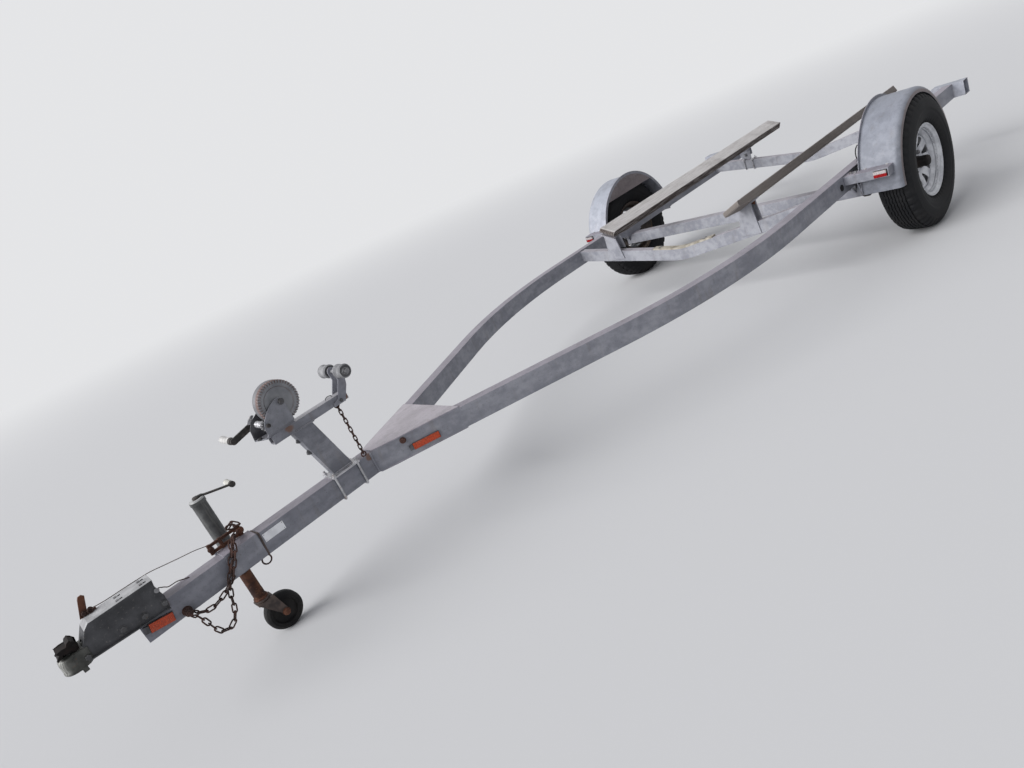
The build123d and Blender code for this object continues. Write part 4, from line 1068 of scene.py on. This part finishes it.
def coupling_handle():
    """The pressed lever on the head: two jagged cheeks, a raised knob behind and a hooked tip."""
    shape = Shape()
    side = [
        (3.747, 0.456), (3.744, 0.472), (3.75, 0.483), (3.757, 0.49), (3.766, 0.486),
        (3.77, 0.479),
        (3.783, 0.48), (3.799, 0.478), (3.793, 0.47), (3.805, 0.46), (3.8035, 0.454),
        (3.79, 0.461),
        (3.784, 0.465), (3.774, 0.459), (3.766, 0.46), (3.76, 0.4525),
    ]
    for s in SIDES.values():
        shape.plate(side, s * 0.0245, -s * 0.003)
        shape.tube([(3.7525, s * 0.027, 0.47), (3.7525, s * 0.03, 0.47)], 0.0055, 12)
    web = [
        (3.748, 0.478), (3.757, 0.489), (3.766, 0.485), (3.77, 0.478), (3.798, 0.477),
        (3.793, 0.47), (3.803, 0.459), (3.799, 0.459), (3.788, 0.468), (3.79, 0.473),
        (3.768, 0.474), (3.758, 0.482),
    ]
    shape.plate(web, 0.0245, 0.049)
    shape.tube([(3.756, -0.029, 0.46), (3.756, 0.029, 0.46)], 0.006, 12)
    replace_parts(shape.done("coupling_lever", BLACK), "coupling_handle")


def coupling_fittings():
    """Cross bolts, cover tabs, the cover's eyelet, and the hand brake's rods and pivot."""
    shape = Shape()
    for side in SIDES.values():
        for x, z in ((3.5244, 0.4206), (3.5822, 0.4234), (3.6422, 0.4294), (3.744, 0.423)):
            bolt(shape, (x, side * HOUSING_Y, z), (0, side, 0), 0.0095, 0.002 if side < 0 else 0.0)
    shape.done("coupling_bolts", DARK_NUT)
    shape = Shape()
    tab = [(-0.0045, -0.0055), (0.0045, -0.0055), (0.0045, 0.0055), (-0.0045, 0.0055)]
    for x in (3.545, 3.613):
        for s in SIDES.values():
            shape.prism(tab, (x, s * 0.017, 0.5022), X_AXIS, Y_AXIS, 0.0018)
    eyelet = [(0.0038, 0), (0.0075, 0), (0.0075, 0.002), (0.0055, 0.0028), (0.0038, 0.002)]
    shape.lathe(eyelet, (3.522, HOUSING_Y, 0.466), Y_AXIS, 20)
    shape.done("housing_tabs", DULL_ZINC)
    shape = Shape()
    for y in (-0.026, -0.034):
        shape.tube([(3.7, y, 0.506), (3.662, y, 0.506)], 0.0026, 8)
    shape.ring((3.677, -0.02, 0.5115), 0.007, 0.002, 12, 7)
    for x in (3.694, 3.676):
        bolt(shape, (x, -0.027, 0.513), Y_AXIS, 0.007)
    shape.done("lever_pivot", CHAIN_RUST)


def tilted_box(half_l, half_h, tilt, shift=0.0):
    """Corners of a small plate, tipped nose up."""
    c, s = math.cos(tilt), math.sin(tilt)
    corners = ((-half_l, -half_h), (half_l, -half_h), (half_l, half_h), (-half_l, half_h))
    return [((a + shift) * c - b * s, (a + shift) * s + b * c) for a, b in corners]


def side_reflectors():
    """A tipped reflector on each face of the drawbar's end and one on each rail, in dark holders."""
    lens = Shape()
    holder = Shape()
    for side in SIDES.values():
        front = (3.557, DRAWBAR_HALF, 0.3765, 0.034, 0.0135, 0.0, math.radians(9.5))
        rail = (2.5785, rail_face(2.5785, RAIL_HALF), 0.372, 0.051, 0.0115, SPLAY, 0.0)
        for x, y, z, half_l, half_h, turn, tilt in (front, rail):
            along = Vector((math.cos(turn), -side * math.sin(turn), 0))
            at = Vector((x, side * y, z))
            lens.prism(tilted_box(half_l, half_h, tilt), at, along, Z_AXIS, side * -0.0095)
            back = tilted_box(half_l + 0.0015, half_h + 0.0015, tilt)
            holder.prism(back, at, along, Z_AXIS, side * -0.005)
            clip = tilted_box(0.0075, half_h * 0.8, tilt, half_l + 0.0085)
            holder.prism(clip, at, along, Z_AXIS, side * -0.008)
    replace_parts(lens.done("side_lenses", ORANGE), "side_reflectors")
    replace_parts(holder.done("lens_holders", HOLDER), "front_reflector_plate")


def winch_frame():
    """The winch's folded sheet: a base on the beam, a tall far cheek and a small near one."""
    shape = Shape()
    base = [(2.922, -0.039), (3.05, -0.039), (3.03, 0.022), (2.922, 0.022)]
    shape.prism(base, (0, 0, WINCH_BEAM_TOP), X_AXIS, Y_AXIS, 0.004)
    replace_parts(shape.done("winch_base", CHEEK_ZINC), "winch_frame")
    shape = Shape()
    far = [(2.922, 0.66), (2.927, 0.745), (2.936, 0.767), (2.952, 0.768), (2.98, 0.752), (3.03, 0.722),
           (3.046, 0.7), (3.05, 0.66)]
    shape.plate(far, -0.036, 0.003)
    # the far cheek takes the dark holder grey as painted shade; it is zinc sheet as the near cheek is
    shape.done("winch_far_cheek", HOLDER)
    shape = Shape()
    near = [(2.931, 0.68), (2.9335, 0.742), (2.938, 0.76), (2.9465, 0.768), (2.957, 0.767), (2.976, 0.759),
            (2.998, 0.744), (3.021, 0.72), (3.029, 0.7), (3.029, 0.68)]
    shape.plate(near, 0.059, 0.003)
    foot = []
    for x in (2.931, 3.029):
        lean = 0.001 if x < 3 else -0.004
        foot.append([Vector(p) for p in (
            (x, 0.059, 0.68), (x, 0.056, 0.681), (x + lean, 0.019, 0.664), (x + lean, 0.022, 0.66))])
    shape.strip(foot)
    shape.done("winch_near_cheek", CHEEK_ZINC)


def winch_gear():
    """The pressed gear: stepped face, deep band, and a narrow slot at its corner for each tooth."""
    g, r = GEAR_FACE * 1000, 70
    profile = [
        (8, g - 9), (15, g - 9), (15, g - 6), (48, g - 6), (51, g - 3), (r - 7, g - 3), (r - 3, g - 7),
        (r - 3, g - 44), (r, g - 44), (r, g - 11), (r, g - 5.5), (r - 2, g - 2), (r - 5.5, g), (58, g),
        (50, g),
        (46.5, g - 3), (8, g - 3),
    ]
    sunk = {
        9: (r - 0.6, g - 11), 10: (r - 2.6, g - 7), 11: (r - 4.2, g - 4.2), 12: (r - 7, g - 2.8),
        13: (58, g - 0.6),
    }
    x, z = DRUM_AT
    rings = []
    for row in range(GEAR_TEETH * 6):
        a = 2 * math.pi * row / (GEAR_TEETH * 6)
        line = [sunk.get(i, p) if row % 6 in (0, 1) else p for i, p in enumerate(profile)]
        c, s = math.cos(a), math.sin(a)
        rings.append([Vector((x, 0, z)) + Vector((q * c, y, q * s)) / 1000 for q, y in line])
    shape = Shape()
    shape.strip(rings, closed_path=True)
    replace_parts(shape.done("pressed_gear", GEAR, "winch_reel", 30.0), "winch_gear")
    shape = Shape()
    liner = [(r - 3.2, g - 10), (r - 2.2, g - 8), (r - 3.7, g - 4.8), (r - 6.5, g - 3.3), (r - 8, g - 3.4)]
    shape.lathe([(q / 1000, y / 1000) for q, y in liner], (x, 0, z), Y_AXIS, 132)
    shape.done("slot_shadow", DARK_NUT, "winch_reel")


def winch_beam():
    """The box beam on the post's head, open at both ends."""
    shape = Shape()
    front, rear, wall = 3.014, 2.718, 0.003
    outlines = []
    for cut in (0.0, wall):
        half, low, high = WINCH_BEAM_HALF - cut, WINCH_BEAM_LOW + cut, WINCH_BEAM_TOP - cut
        outlines.append([(-half, low), (half, low), (half, high), (-half, high)])
    outer, inner = outlines
    rings = ((outer, rear), (outer, front), (inner, front), (inner, rear))
    shape.strip([[Vector((x, y, z)) for y, z in outline] for outline, x in rings], closed_path=True)
    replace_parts(shape.done("box_beam", BEAM_ZINC), "winch_beam")


def roller_bracket():
    """Two narrow ears that lean back from the beam's end to the rollers' shaft."""
    x, z = ROLLER_AT
    hub = [(x + 0.0155 * math.cos(a), z + 0.0155 * math.sin(a)) for a in circle(12)[:7]]
    outline = hub + [
        (x - 0.0155, 0.705), (2.704, 0.676), (2.7304, 0.6351), (2.733, 0.628), (2.779, 0.628),
        (2.779, 0.64),
        (2.756, 0.648), (2.7235, 0.7035),
    ]
    shape = Shape()
    for s in SIDES.values():
        shape.plate(outline, s * 0.02, -s * 0.004)
    ears = shape.done("roller_ears", FRAME_ZINC)
    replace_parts(ears, "roller_bracket")
    shape = Shape()
    for s in SIDES.values():
        bolt(shape, (2.748, s * 0.024, 0.638), (0, s, 0), 0.006, 0.002)
        washer = [(0.0095, 0), (0.0135, 0), (0.0135, 0.003), (0.0095, 0.003)]
        shape.lathe(washer, (x, s * 0.024, z), (0, s, 0), 18)
    shape.done("ear_bolts", DARK_NUT)


def jockey_crank():
    """A flat arm from the tube's cap, drooping to an eye, with a pale grip."""
    shape = Shape()
    end_x, end_z = 3.1653, 0.5675
    y, top = JOCKEY_Y, JOCKEY_TOP
    hub = [(0, 0), (0.011, 0), (0.011, 0.006), (0.008, 0.008), (0, 0.008)]
    shape.lathe(hub, (JOCKEY_X, y, top), Z_AXIS, 20)
    arm = [(3.286, y, top + 0.005), (3.262, y, top + 0.003), (3.247, y, top - 0.003), (end_x, y, end_z)]
    shape.tube(smooth_line(arm, 5), 0.007, 12, across=Y_AXIS, flat=0.55)
    shape.tube([(end_x, y + 0.006, end_z), (end_x, y - 0.006, end_z)], 0.0105, 18)
    grip = [(0, 6), (6, 6), (6, 9), (8.5, 11), (10.5, 22), (9.5, 44), (10.5, 56), (6, 60), (0, 60)]
    shape.lathe([(r / 1000, h / 1000) for r, h in grip], (end_x, y, end_z), (0, -1, 0), 20)
    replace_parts(shape.done("jockey_handle", JOCKEY_CRANK), "jockey_crank")


def winch_fittings():
    """Shaft nuts, ratchet, pawl, the pinion shaft's sleeve, and the bolts, welds and eye of the beam."""
    drum_x, drum_z = DRUM_AT
    pin_x, pin_z = PINION_AT
    shape = Shape()
    for x in (2.934, 3.0, 3.04):
        bolt(shape, (x, -0.01, 0.664), Z_AXIS, 0.008)
    for x, z, thread in ((2.938, 0.594, 0.008), (2.925, 0.541, 0.009)):
        down = (math.cos(math.radians(15)), 0, -math.sin(math.radians(15)))
        bolt(shape, (x, 0.0, z), down, thread, 0.004)
    shape.done("winch_bolts", DARK_NUT)
    shape = Shape()
    pawl = [(3.018, 0.742), (3.01, 0.738), (3.02, 0.728), (3.034, 0.716), (3.044, 0.722), (3.034, 0.732)]
    shape.plate(pawl, -0.0395, 0.006)
    shape.tube([(3.022, -0.039, 0.735), (3.022, -0.05, 0.735)], 0.0045, 10)
    shape.done("winch_pawl", ZINC)
    shape = Shape()
    bolt(shape, (drum_x, GEAR_FACE + 0.014, drum_z), Y_AXIS, 0.01)
    bolt(shape, (drum_x, -0.047, drum_z), (0, -1, 0), 0.012)
    shape.done("drum_nuts", DARK_NUT, "winch_reel")
    shape = Shape()
    teeth = []
    for a in circle(12):
        for r, turn in ((0.0165, a), (0.013, a + 0.12)):
            teeth.append((r * math.cos(turn), r * math.sin(turn)))
    shape.prism(teeth, (pin_x, -0.044, pin_z), X_AXIS, Z_AXIS, 0.008)
    bolt(shape, (pin_x, -0.052, pin_z), (0, -1, 0), 0.013, 0.0, False)
    bolt(shape, (pin_x, -0.078, pin_z), (0, -1, 0), 0.011, 0.003)
    thread = [(0, -0.034)]
    for k in range(20):
        thread += [(0.0118, -0.034 + 0.003 * k), (0.0098, -0.0325 + 0.003 * k)]
    shape.lathe(thread + [(0, 0.0255)], (pin_x, 0, pin_z), Y_AXIS, 16)
    shape.done("crank_nuts", ZINC, "winch_handle")
    shape = Shape()
    for y in (-WINCH_BEAM_HALF, WINCH_BEAM_HALF):
        weld(shape, (2.864, y, WINCH_BEAM_LOW), (2.938, y, WINCH_BEAM_LOW))
        weld(shape, (2.822, y, 0.431), (2.892, y, 0.431))
    for x in (2.8775, 2.9515):
        weld(shape, (x - 0.003, -0.019, WINCH_BEAM_LOW), (x - 0.003, 0.019, WINCH_BEAM_LOW))
    shape.done("winch_welds", BEAM_ZINC)
    shape = Shape()
    loop = [(2.774 + 0.013 * math.cos(a), -0.004, 0.661 + 0.006 * math.sin(a)) for a in circle(12)]
    shape.tube(loop, 0.0018, 6, closed=True, across=Y_AXIS)
    shape.done("beam_eye", DULL_ZINC)


def roller_fittings():
    """The washers and nuts that hold the rollers on their shaft."""
    x, z = ROLLER_AT
    shape = Shape()
    for s in (1, -1):
        ring = [(0.0092, 0), (0.0125, 0), (0.0125, 0.0022), (0.0092, 0.0022)]
        shape.lathe(ring, (x, s * 0.0885, z), (0, s, 0), 18)
        bolt(shape, (x, s * 0.093, z), (0, s, 0), 0.0095, 0.0, False)
    shape.done("roller_nuts", DULL_ZINC, "roller_set")


def jockey_fittings():
    """The wheel's pin nuts, moulded rings on its tyre, the clamp's nuts and the stem's collar."""
    x, z = JOCKEY_WHEEL_AT
    shape = Shape()
    for s in (1, -1):
        bolt(shape, (x, JOCKEY_Y + s * 0.028, z), (0, s, 0), 0.0125, 0.004)
    nut = [(0.0205, 0), (0.0245, 0), (0.0245, 0.006), (0.0205, 0.008)]
    shape.lathe(nut, (JOCKEY_X, JOCKEY_Y, 0.183), Z_AXIS, 24)
    shape.done("fork_nuts", RUST, "jockey_swivel")
    shape = Shape()
    collar = [(0.0199, 0), (0.0205, 0.0005), (0.0205, 0.022), (0.0199, 0.024)]
    shape.lathe(collar, (JOCKEY_X, JOCKEY_Y, 0.1935), Z_AXIS, 24)
    shape.done("stem_collar", STEM_RUST, "jockey_leg")
    shape = Shape()
    nut_at, far_at, bolt_at = [(JOCKEY_X - d, CLAMP_BOLT_Y, CLAMP_BOLT_Z) for d in (0.03, 0.036, 0.013)]
    shape.tube([nut_at, far_at], 0.007, 6)
    bolt(shape, bolt_at, (-1, 0, 0), 0.012, 0.006)
    shape.done("clamp_bolts", DULL_ZINC)
    shape = Shape()
    for s in (1, -1):
        for r in (0.05, 0.0545):
            shape.ring((x, JOCKEY_Y + s * 0.0198, z), r, 0.001, 48, 5)
    shape.done("wheel_rings", WHEEL_BLACK, "jockey_roller")


def frame_bolts():
    """Bolts of the axle mounts, light bars, brackets and keel pad, and one on the left rail."""
    shape = Shape()
    for side in SIDES.values():
        y = side * RAIL_Y
        for dx in (-0.058, 0.058):
            for dy in (-0.013, 0.013):
                bolt(shape, (BEAM_X + dx, y + dy, FRAME_BOTTOM - 0.012), (0, 0, -1), 0.01, 0.006)
        for z in (0.364, 0.404):
            bolt(shape, (-1.208, side * 0.6205, z), (0, -side, 0), 0.008)
        bolt(shape, (CROSS_X["rear"] + 0.003, side * (BUNK_Y + 0.018), 0.414), X_AXIS, 0.009, 0.003)
        bolt(shape, (CROSS_X["rear"] - 0.003, side * (BUNK_Y + 0.018), 0.414), (-1, 0, 0), 0.009)
    shape.done("frame_bolts", DULL_ZINC)
    shape = Shape()
    bolt(shape, (2.645, rail_face(2.645, 0.025), 0.41), (math.sin(SPLAY), math.cos(SPLAY), 0), 0.011)
    shape.done("rail_bolt", CHAIN_RUST)
    shape = Shape()
    for dx in (-0.01, 0.01):
        for y in (0.15, -0.13):
            dome(shape, (CROSS_X["front"] + dx, y, 0.3315 + abs(y) * CROSS_SLOPE), Z_AXIS, 0.007)
    shape.done("pad_bolts", DULL_ZINC)


def bunk_bolts(name, side, places):
    """Nuts under each plank's seats, where its coach bolts end."""
    shape = Shape()
    up = bunk_normal(side)
    for x in places:
        for across in (-0.02, 0.02):
            bolt(shape, bunk_point(side, x, across, -BUNK_T - 0.006), -up, 0.009, 0.006)
    shape.done(f"{name}_bunk_bolts", RUST)


def rear_u_bolts():
    """U-bolts that hold each rear bracket to the bowed cross member."""
    shape = Shape()
    for side in SIDES.values():
        for y in (0.392, 0.452):
            z = CROSS_END_Z - 0.097 + y * CROSS_SLOPE
            half, low, top = 0.0245, z - 0.0345, z + 0.046
            r = 0.008
            points = [(-half, top), (-half, low + r), (-half + 0.0025, low + 0.0025), (-half + r, low)]
            points += [(-a, b) for a, b in reversed(points)]
            shape.tube([(CROSS_X["rear"] + a, side * y, b) for a, b in points], 0.004, 8)
            for s in (1, -1):
                bolt(shape, (CROSS_X["rear"] + s * half, side * y, z + 0.031), Z_AXIS, 0.008, 0.0)
            shape.prism(
                [(-0.034, -0.01), (0.034, -0.01), (0.034, 0.01), (-0.034, 0.01)],
                (CROSS_X["rear"], side * y, z + 0.0305), X_AXIS, Y_AXIS, 0.003,
            )
    shape.done("rear_u_bolts", ZINC)


def frame_welds():
    """Beads where rails meet drawbar and gusset, and where cross members meet rails."""
    shape = Shape()
    half = DRAWBAR_HALF
    for side in SIDES.values():
        x = JOIN_X - (half - RAIL_HALF / math.cos(SPLAY)) / math.tan(SPLAY)
        weld(shape, (x, side * (half + 0.001), FRAME_BOTTOM), (x, side * (half + 0.001), FRAME_TOP), 0.004)
        for z in (FRAME_TOP + 0.002, FRAME_BOTTOM - 0.002):
            weld(shape, (2.745, side * half, z), (2.7, side * 0.058, z))
            weld(shape, (2.7, side * 0.058, z), (2.44, side * 0.19, z))
        weld(shape, (2.44, side * 0.15, FRAME_TOP + 0.002), (2.44, side * 0.19, FRAME_TOP + 0.002))
        for x in CROSS_X.values():
            for dx in (-0.02, 0.02):
                y = side * (RAIL_Y - RAIL_HALF - 0.001)
                weld(shape, (x + dx, y, CROSS_END_Z - 0.03), (x + dx, y, CROSS_END_Z + 0.03))
        for y in (side * (RAIL_Y - RAIL_HALF), side * (RAIL_Y + RAIL_HALF)):
            weld(shape, (-1.168, y, FRAME_BOTTOM), (-1.168, y, FRAME_TOP))
    shape.done("frame_welds", FRAME_ZINC)


def rail_grommet():
    """A black grommet in the left rail's outer face, and a pale tie that hangs by the arm."""
    shape = Shape()
    shape.ring((0.426, 0.7315, 0.379), 0.012, 0.0034)
    shape.tube([(0.426, 0.73, 0.379), (0.426, 0.7345, 0.379)], 0.0085, 14)
    shape.done("rail_grommet", SHEATH)
    shape = Shape()
    strip = [
        (0.3, 0.742, 0.372), (0.296, 0.744, 0.35), (0.288, 0.746, 0.322), (0.276, 0.747, 0.3),
        (0.27, 0.746, 0.284),
    ]
    shape.tube(smooth_line(strip, 5), 0.003, 8, across=Y_AXIS, flat=0.35)
    shape.done("pale_tie", GUARD_ZINC)


# lamp cable, as its tube runs over the left rail
CABLE_Y = 0.714
CABLE_D = 0.005
CABLE_ROUTE = [
    (0.164, 0.42), (0.18, 0.447), (0.172, 0.476), (0.144, 0.492),
    (0.112, 0.49), (0.088, 0.47), (0.08, 0.444), (0.08, 0.42),
]


def lamp_cable():
    """The black cable that arches over the left rail, between a hole and the next."""
    data = bpy.data.curves.new("lamp_cable_line", "CURVE")
    data.dimensions = "3D"
    data.bevel_depth = CABLE_D / 2
    data.bevel_resolution = 4
    data.resolution_u = 10
    data.use_fill_caps = True
    spline = data.splines.new("NURBS")
    spline.points.add(len(CABLE_ROUTE) - 1)
    for point, (x, z) in zip(spline.points, CABLE_ROUTE):
        point.co = (*(LEAN @ Vector((x, CABLE_Y, z))), 1)
    spline.order_u = 3
    spline.use_endpoint_u = True
    data.materials.append(SHEATH)
    piece = bpy.data.objects.new("lamp_cable_sheath", data)
    bpy.context.scene.collection.objects.link(piece)
    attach(piece, "chassis")
    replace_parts(piece, "lamp_cable")
    x, z = CABLE_ROUTE[0]


def cable_glands():
    """Rubber grommets where the cable enters the rail."""
    shape = Shape()
    for x in (0.1665, 0.08):
        shape.lathe(
            [(0.0026, 0), (0.0075, 0), (0.007, 0.0022), (0.0036, 0.0034), (0.0026, 0.0034)],
            (x, CABLE_Y, FRAME_TOP), Z_AXIS, 18,
        )
    shape.done("cable_grommets", SHEATH)


lamp_cable()
cable_glands()
for name, side in SIDES.items():
    tyre(name, side)
    rim(name, side)
    wheel_fittings(name, side)
    guard_fittings(name, side)
    marker_lamp(name, side)
safety_chain()
bow_chain()
breakaway_cable()
clamp_bar()
drawbar_strap()
label_plate()
coupling_head()
coupling_handle()
coupling_fittings()
side_reflectors()
winch_frame()
winch_gear()
winch_beam()
winch_fittings()
roller_bracket()
jockey_crank()
roller_fittings()
jockey_fittings()
frame_bolts()
bunk_bolts("left", 1, (0.705, -0.85))
bunk_bolts("right", -1, (0.705, -0.85))
rear_u_bolts()
frame_welds()
rail_grommet()

BY_SLOT = {
    "galvanised": FRAME_ZINC,
    "rim_paint": RIM,
    "tyre": TYRE_BLACK,
    "rusty_iron": DRUM_BLACK,
    "rusty_steel": RUST,
    "black_steel": ARM_BLACK,
    "bare_steel": DULL_ZINC,
    "cast_coupling": HEAD,
    "bunk_wood": BUNK_DARK,
    "pad_rubber": PAD,
    "rubber": WHEEL_BLACK,
    "roller_plastic": ROLLER,
    "black_plastic": BLACK,
    "lamp_lens": LENS_RED,
    "reflector": ORANGE,
    "cable": SHEATH,
}
BY_NODE = {
    "left_mudguard": SHADED_NEAR_GUARD_ZINC,
    "right_mudguard": GUARD_ZINC,
    "left_light_bar": GUARD_ZINC,
    "right_light_bar": GUARD_ZINC,
    "right_bunk": BUNK_PALE,
    "coupling_housing": HOUSING,
    "jockey_tube": TUBE,
    "jockey_stem": STEM_RUST,
    "jockey_fork": FORK,
    "winch_crank": WINCH_CRANK,
    "winch_gear": GEAR,
    "drawbar": DRAWBAR_ZINC,
    "junction_plate_top": GUSSET_ZINC,
    "winch_saddle": ZINC,
    "winch_post": POST_ZINC,
}
for part in ("front_cross_member", "rear_cross_member", "axle_beam"):
    BY_NODE[part] = CROSS_ZINC
for name in SIDES:
    BY_NODE[f"{name}_front_post"] = BY_NODE[f"{name}_rear_bracket"] = CROSS_ZINC
slot_of = {row["node"]: row["material_slot"] for row in frame["record"]["subparts"]}
for name, node in frame["nodes"].items():
    node.data.materials.clear()
    node.data.materials.append(BY_NODE.get(name) or BY_SLOT[slot_of[name]])


def add_floor():
    """A pale floor that fades into the backdrop far away."""
    f = Finish("floor", 0.0, 0.0, 0.2)
    f.shader.inputs["Base Color"].default_value = (*FLOOR_COLOUR, 1)
    f.shader.inputs["Roughness"].default_value = 0.9
    mesh = bpy.data.meshes.new("floor")
    s = FLOOR_HALF
    mesh.from_pydata([(-s, -s, 0), (s, -s, 0), (s, s, 0), (-s, s, 0)], [], [(0, 1, 2, 3)])
    mesh.materials.append(f.material)
    floor = bpy.data.objects.new("floor", mesh)
    bpy.context.scene.collection.objects.link(floor)
    away = f.node("ShaderNodeVectorMath", {0: f.place}, operation="LENGTH").outputs["Value"]
    glow = f.node("ShaderNodeEmission", {"Color": (*BACKDROP, 1), "Strength": 1.0}).outputs[0]
    shown = show_backdrop(f.tree, f.shader.outputs[0], glow, f.step(away, *FLOOR_FADE))
    f.tree.links.new(shown, f.tree.nodes["Material Output"].inputs["Surface"])


def show_backdrop(tree, surface, wall, share=None):
    """Let cameras, gloss and glass see the backdrop instead of the surface's own shading."""
    rays = tree.nodes.new("ShaderNodeLightPath").outputs
    seen = rays["Is Camera Ray"]
    for name in ("Is Glossy Ray", "Is Transmission Ray"):
        either = tree.nodes.new("ShaderNodeMath")
        either.operation = "MAXIMUM"
        tree.links.new(seen, either.inputs[0])
        tree.links.new(rays[name], either.inputs[1])
        seen = either.outputs[0]
    if share:
        part = tree.nodes.new("ShaderNodeMath")
        part.operation = "MULTIPLY"
        tree.links.new(seen, part.inputs[0])
        tree.links.new(share, part.inputs[1])
        seen = part.outputs[0]
    both = tree.nodes.new("ShaderNodeMixShader")
    tree.links.new(seen, both.inputs[0])
    tree.links.new(surface, both.inputs[1])
    tree.links.new(wall, both.inputs[2])
    return both.outputs[0]


def add_light():
    """Even soft daylight, and a broad soft sun from the front right."""
    world = bpy.data.worlds.new("world")
    bpy.context.scene.world = world
    world.use_nodes = True
    tree = world.node_tree
    sky = tree.nodes["Background"]
    sky.inputs["Color"].default_value = (*SKY_COLOUR, 1)
    sky.inputs["Strength"].default_value = SKY_STRENGTH
    wall = tree.nodes.new("ShaderNodeBackground")
    wall.inputs["Color"].default_value = (*BACKDROP, 1)
    shown = show_backdrop(tree, sky.outputs[0], wall.outputs[0])
    tree.links.new(shown, tree.nodes["World Output"].inputs["Surface"])
    lamp = bpy.data.lights.new("key", "SUN")
    lamp.energy = SUN_STRENGTH
    lamp.angle = SUN_ANGLE
    key = bpy.data.objects.new("key", lamp)
    key.rotation_euler = SUN_TOWARDS.to_track_quat("-Z", "Y").to_euler()
    bpy.context.scene.collection.objects.link(key)


add_floor()
add_light()
bpy.context.scene.view_settings.view_transform = "Standard"
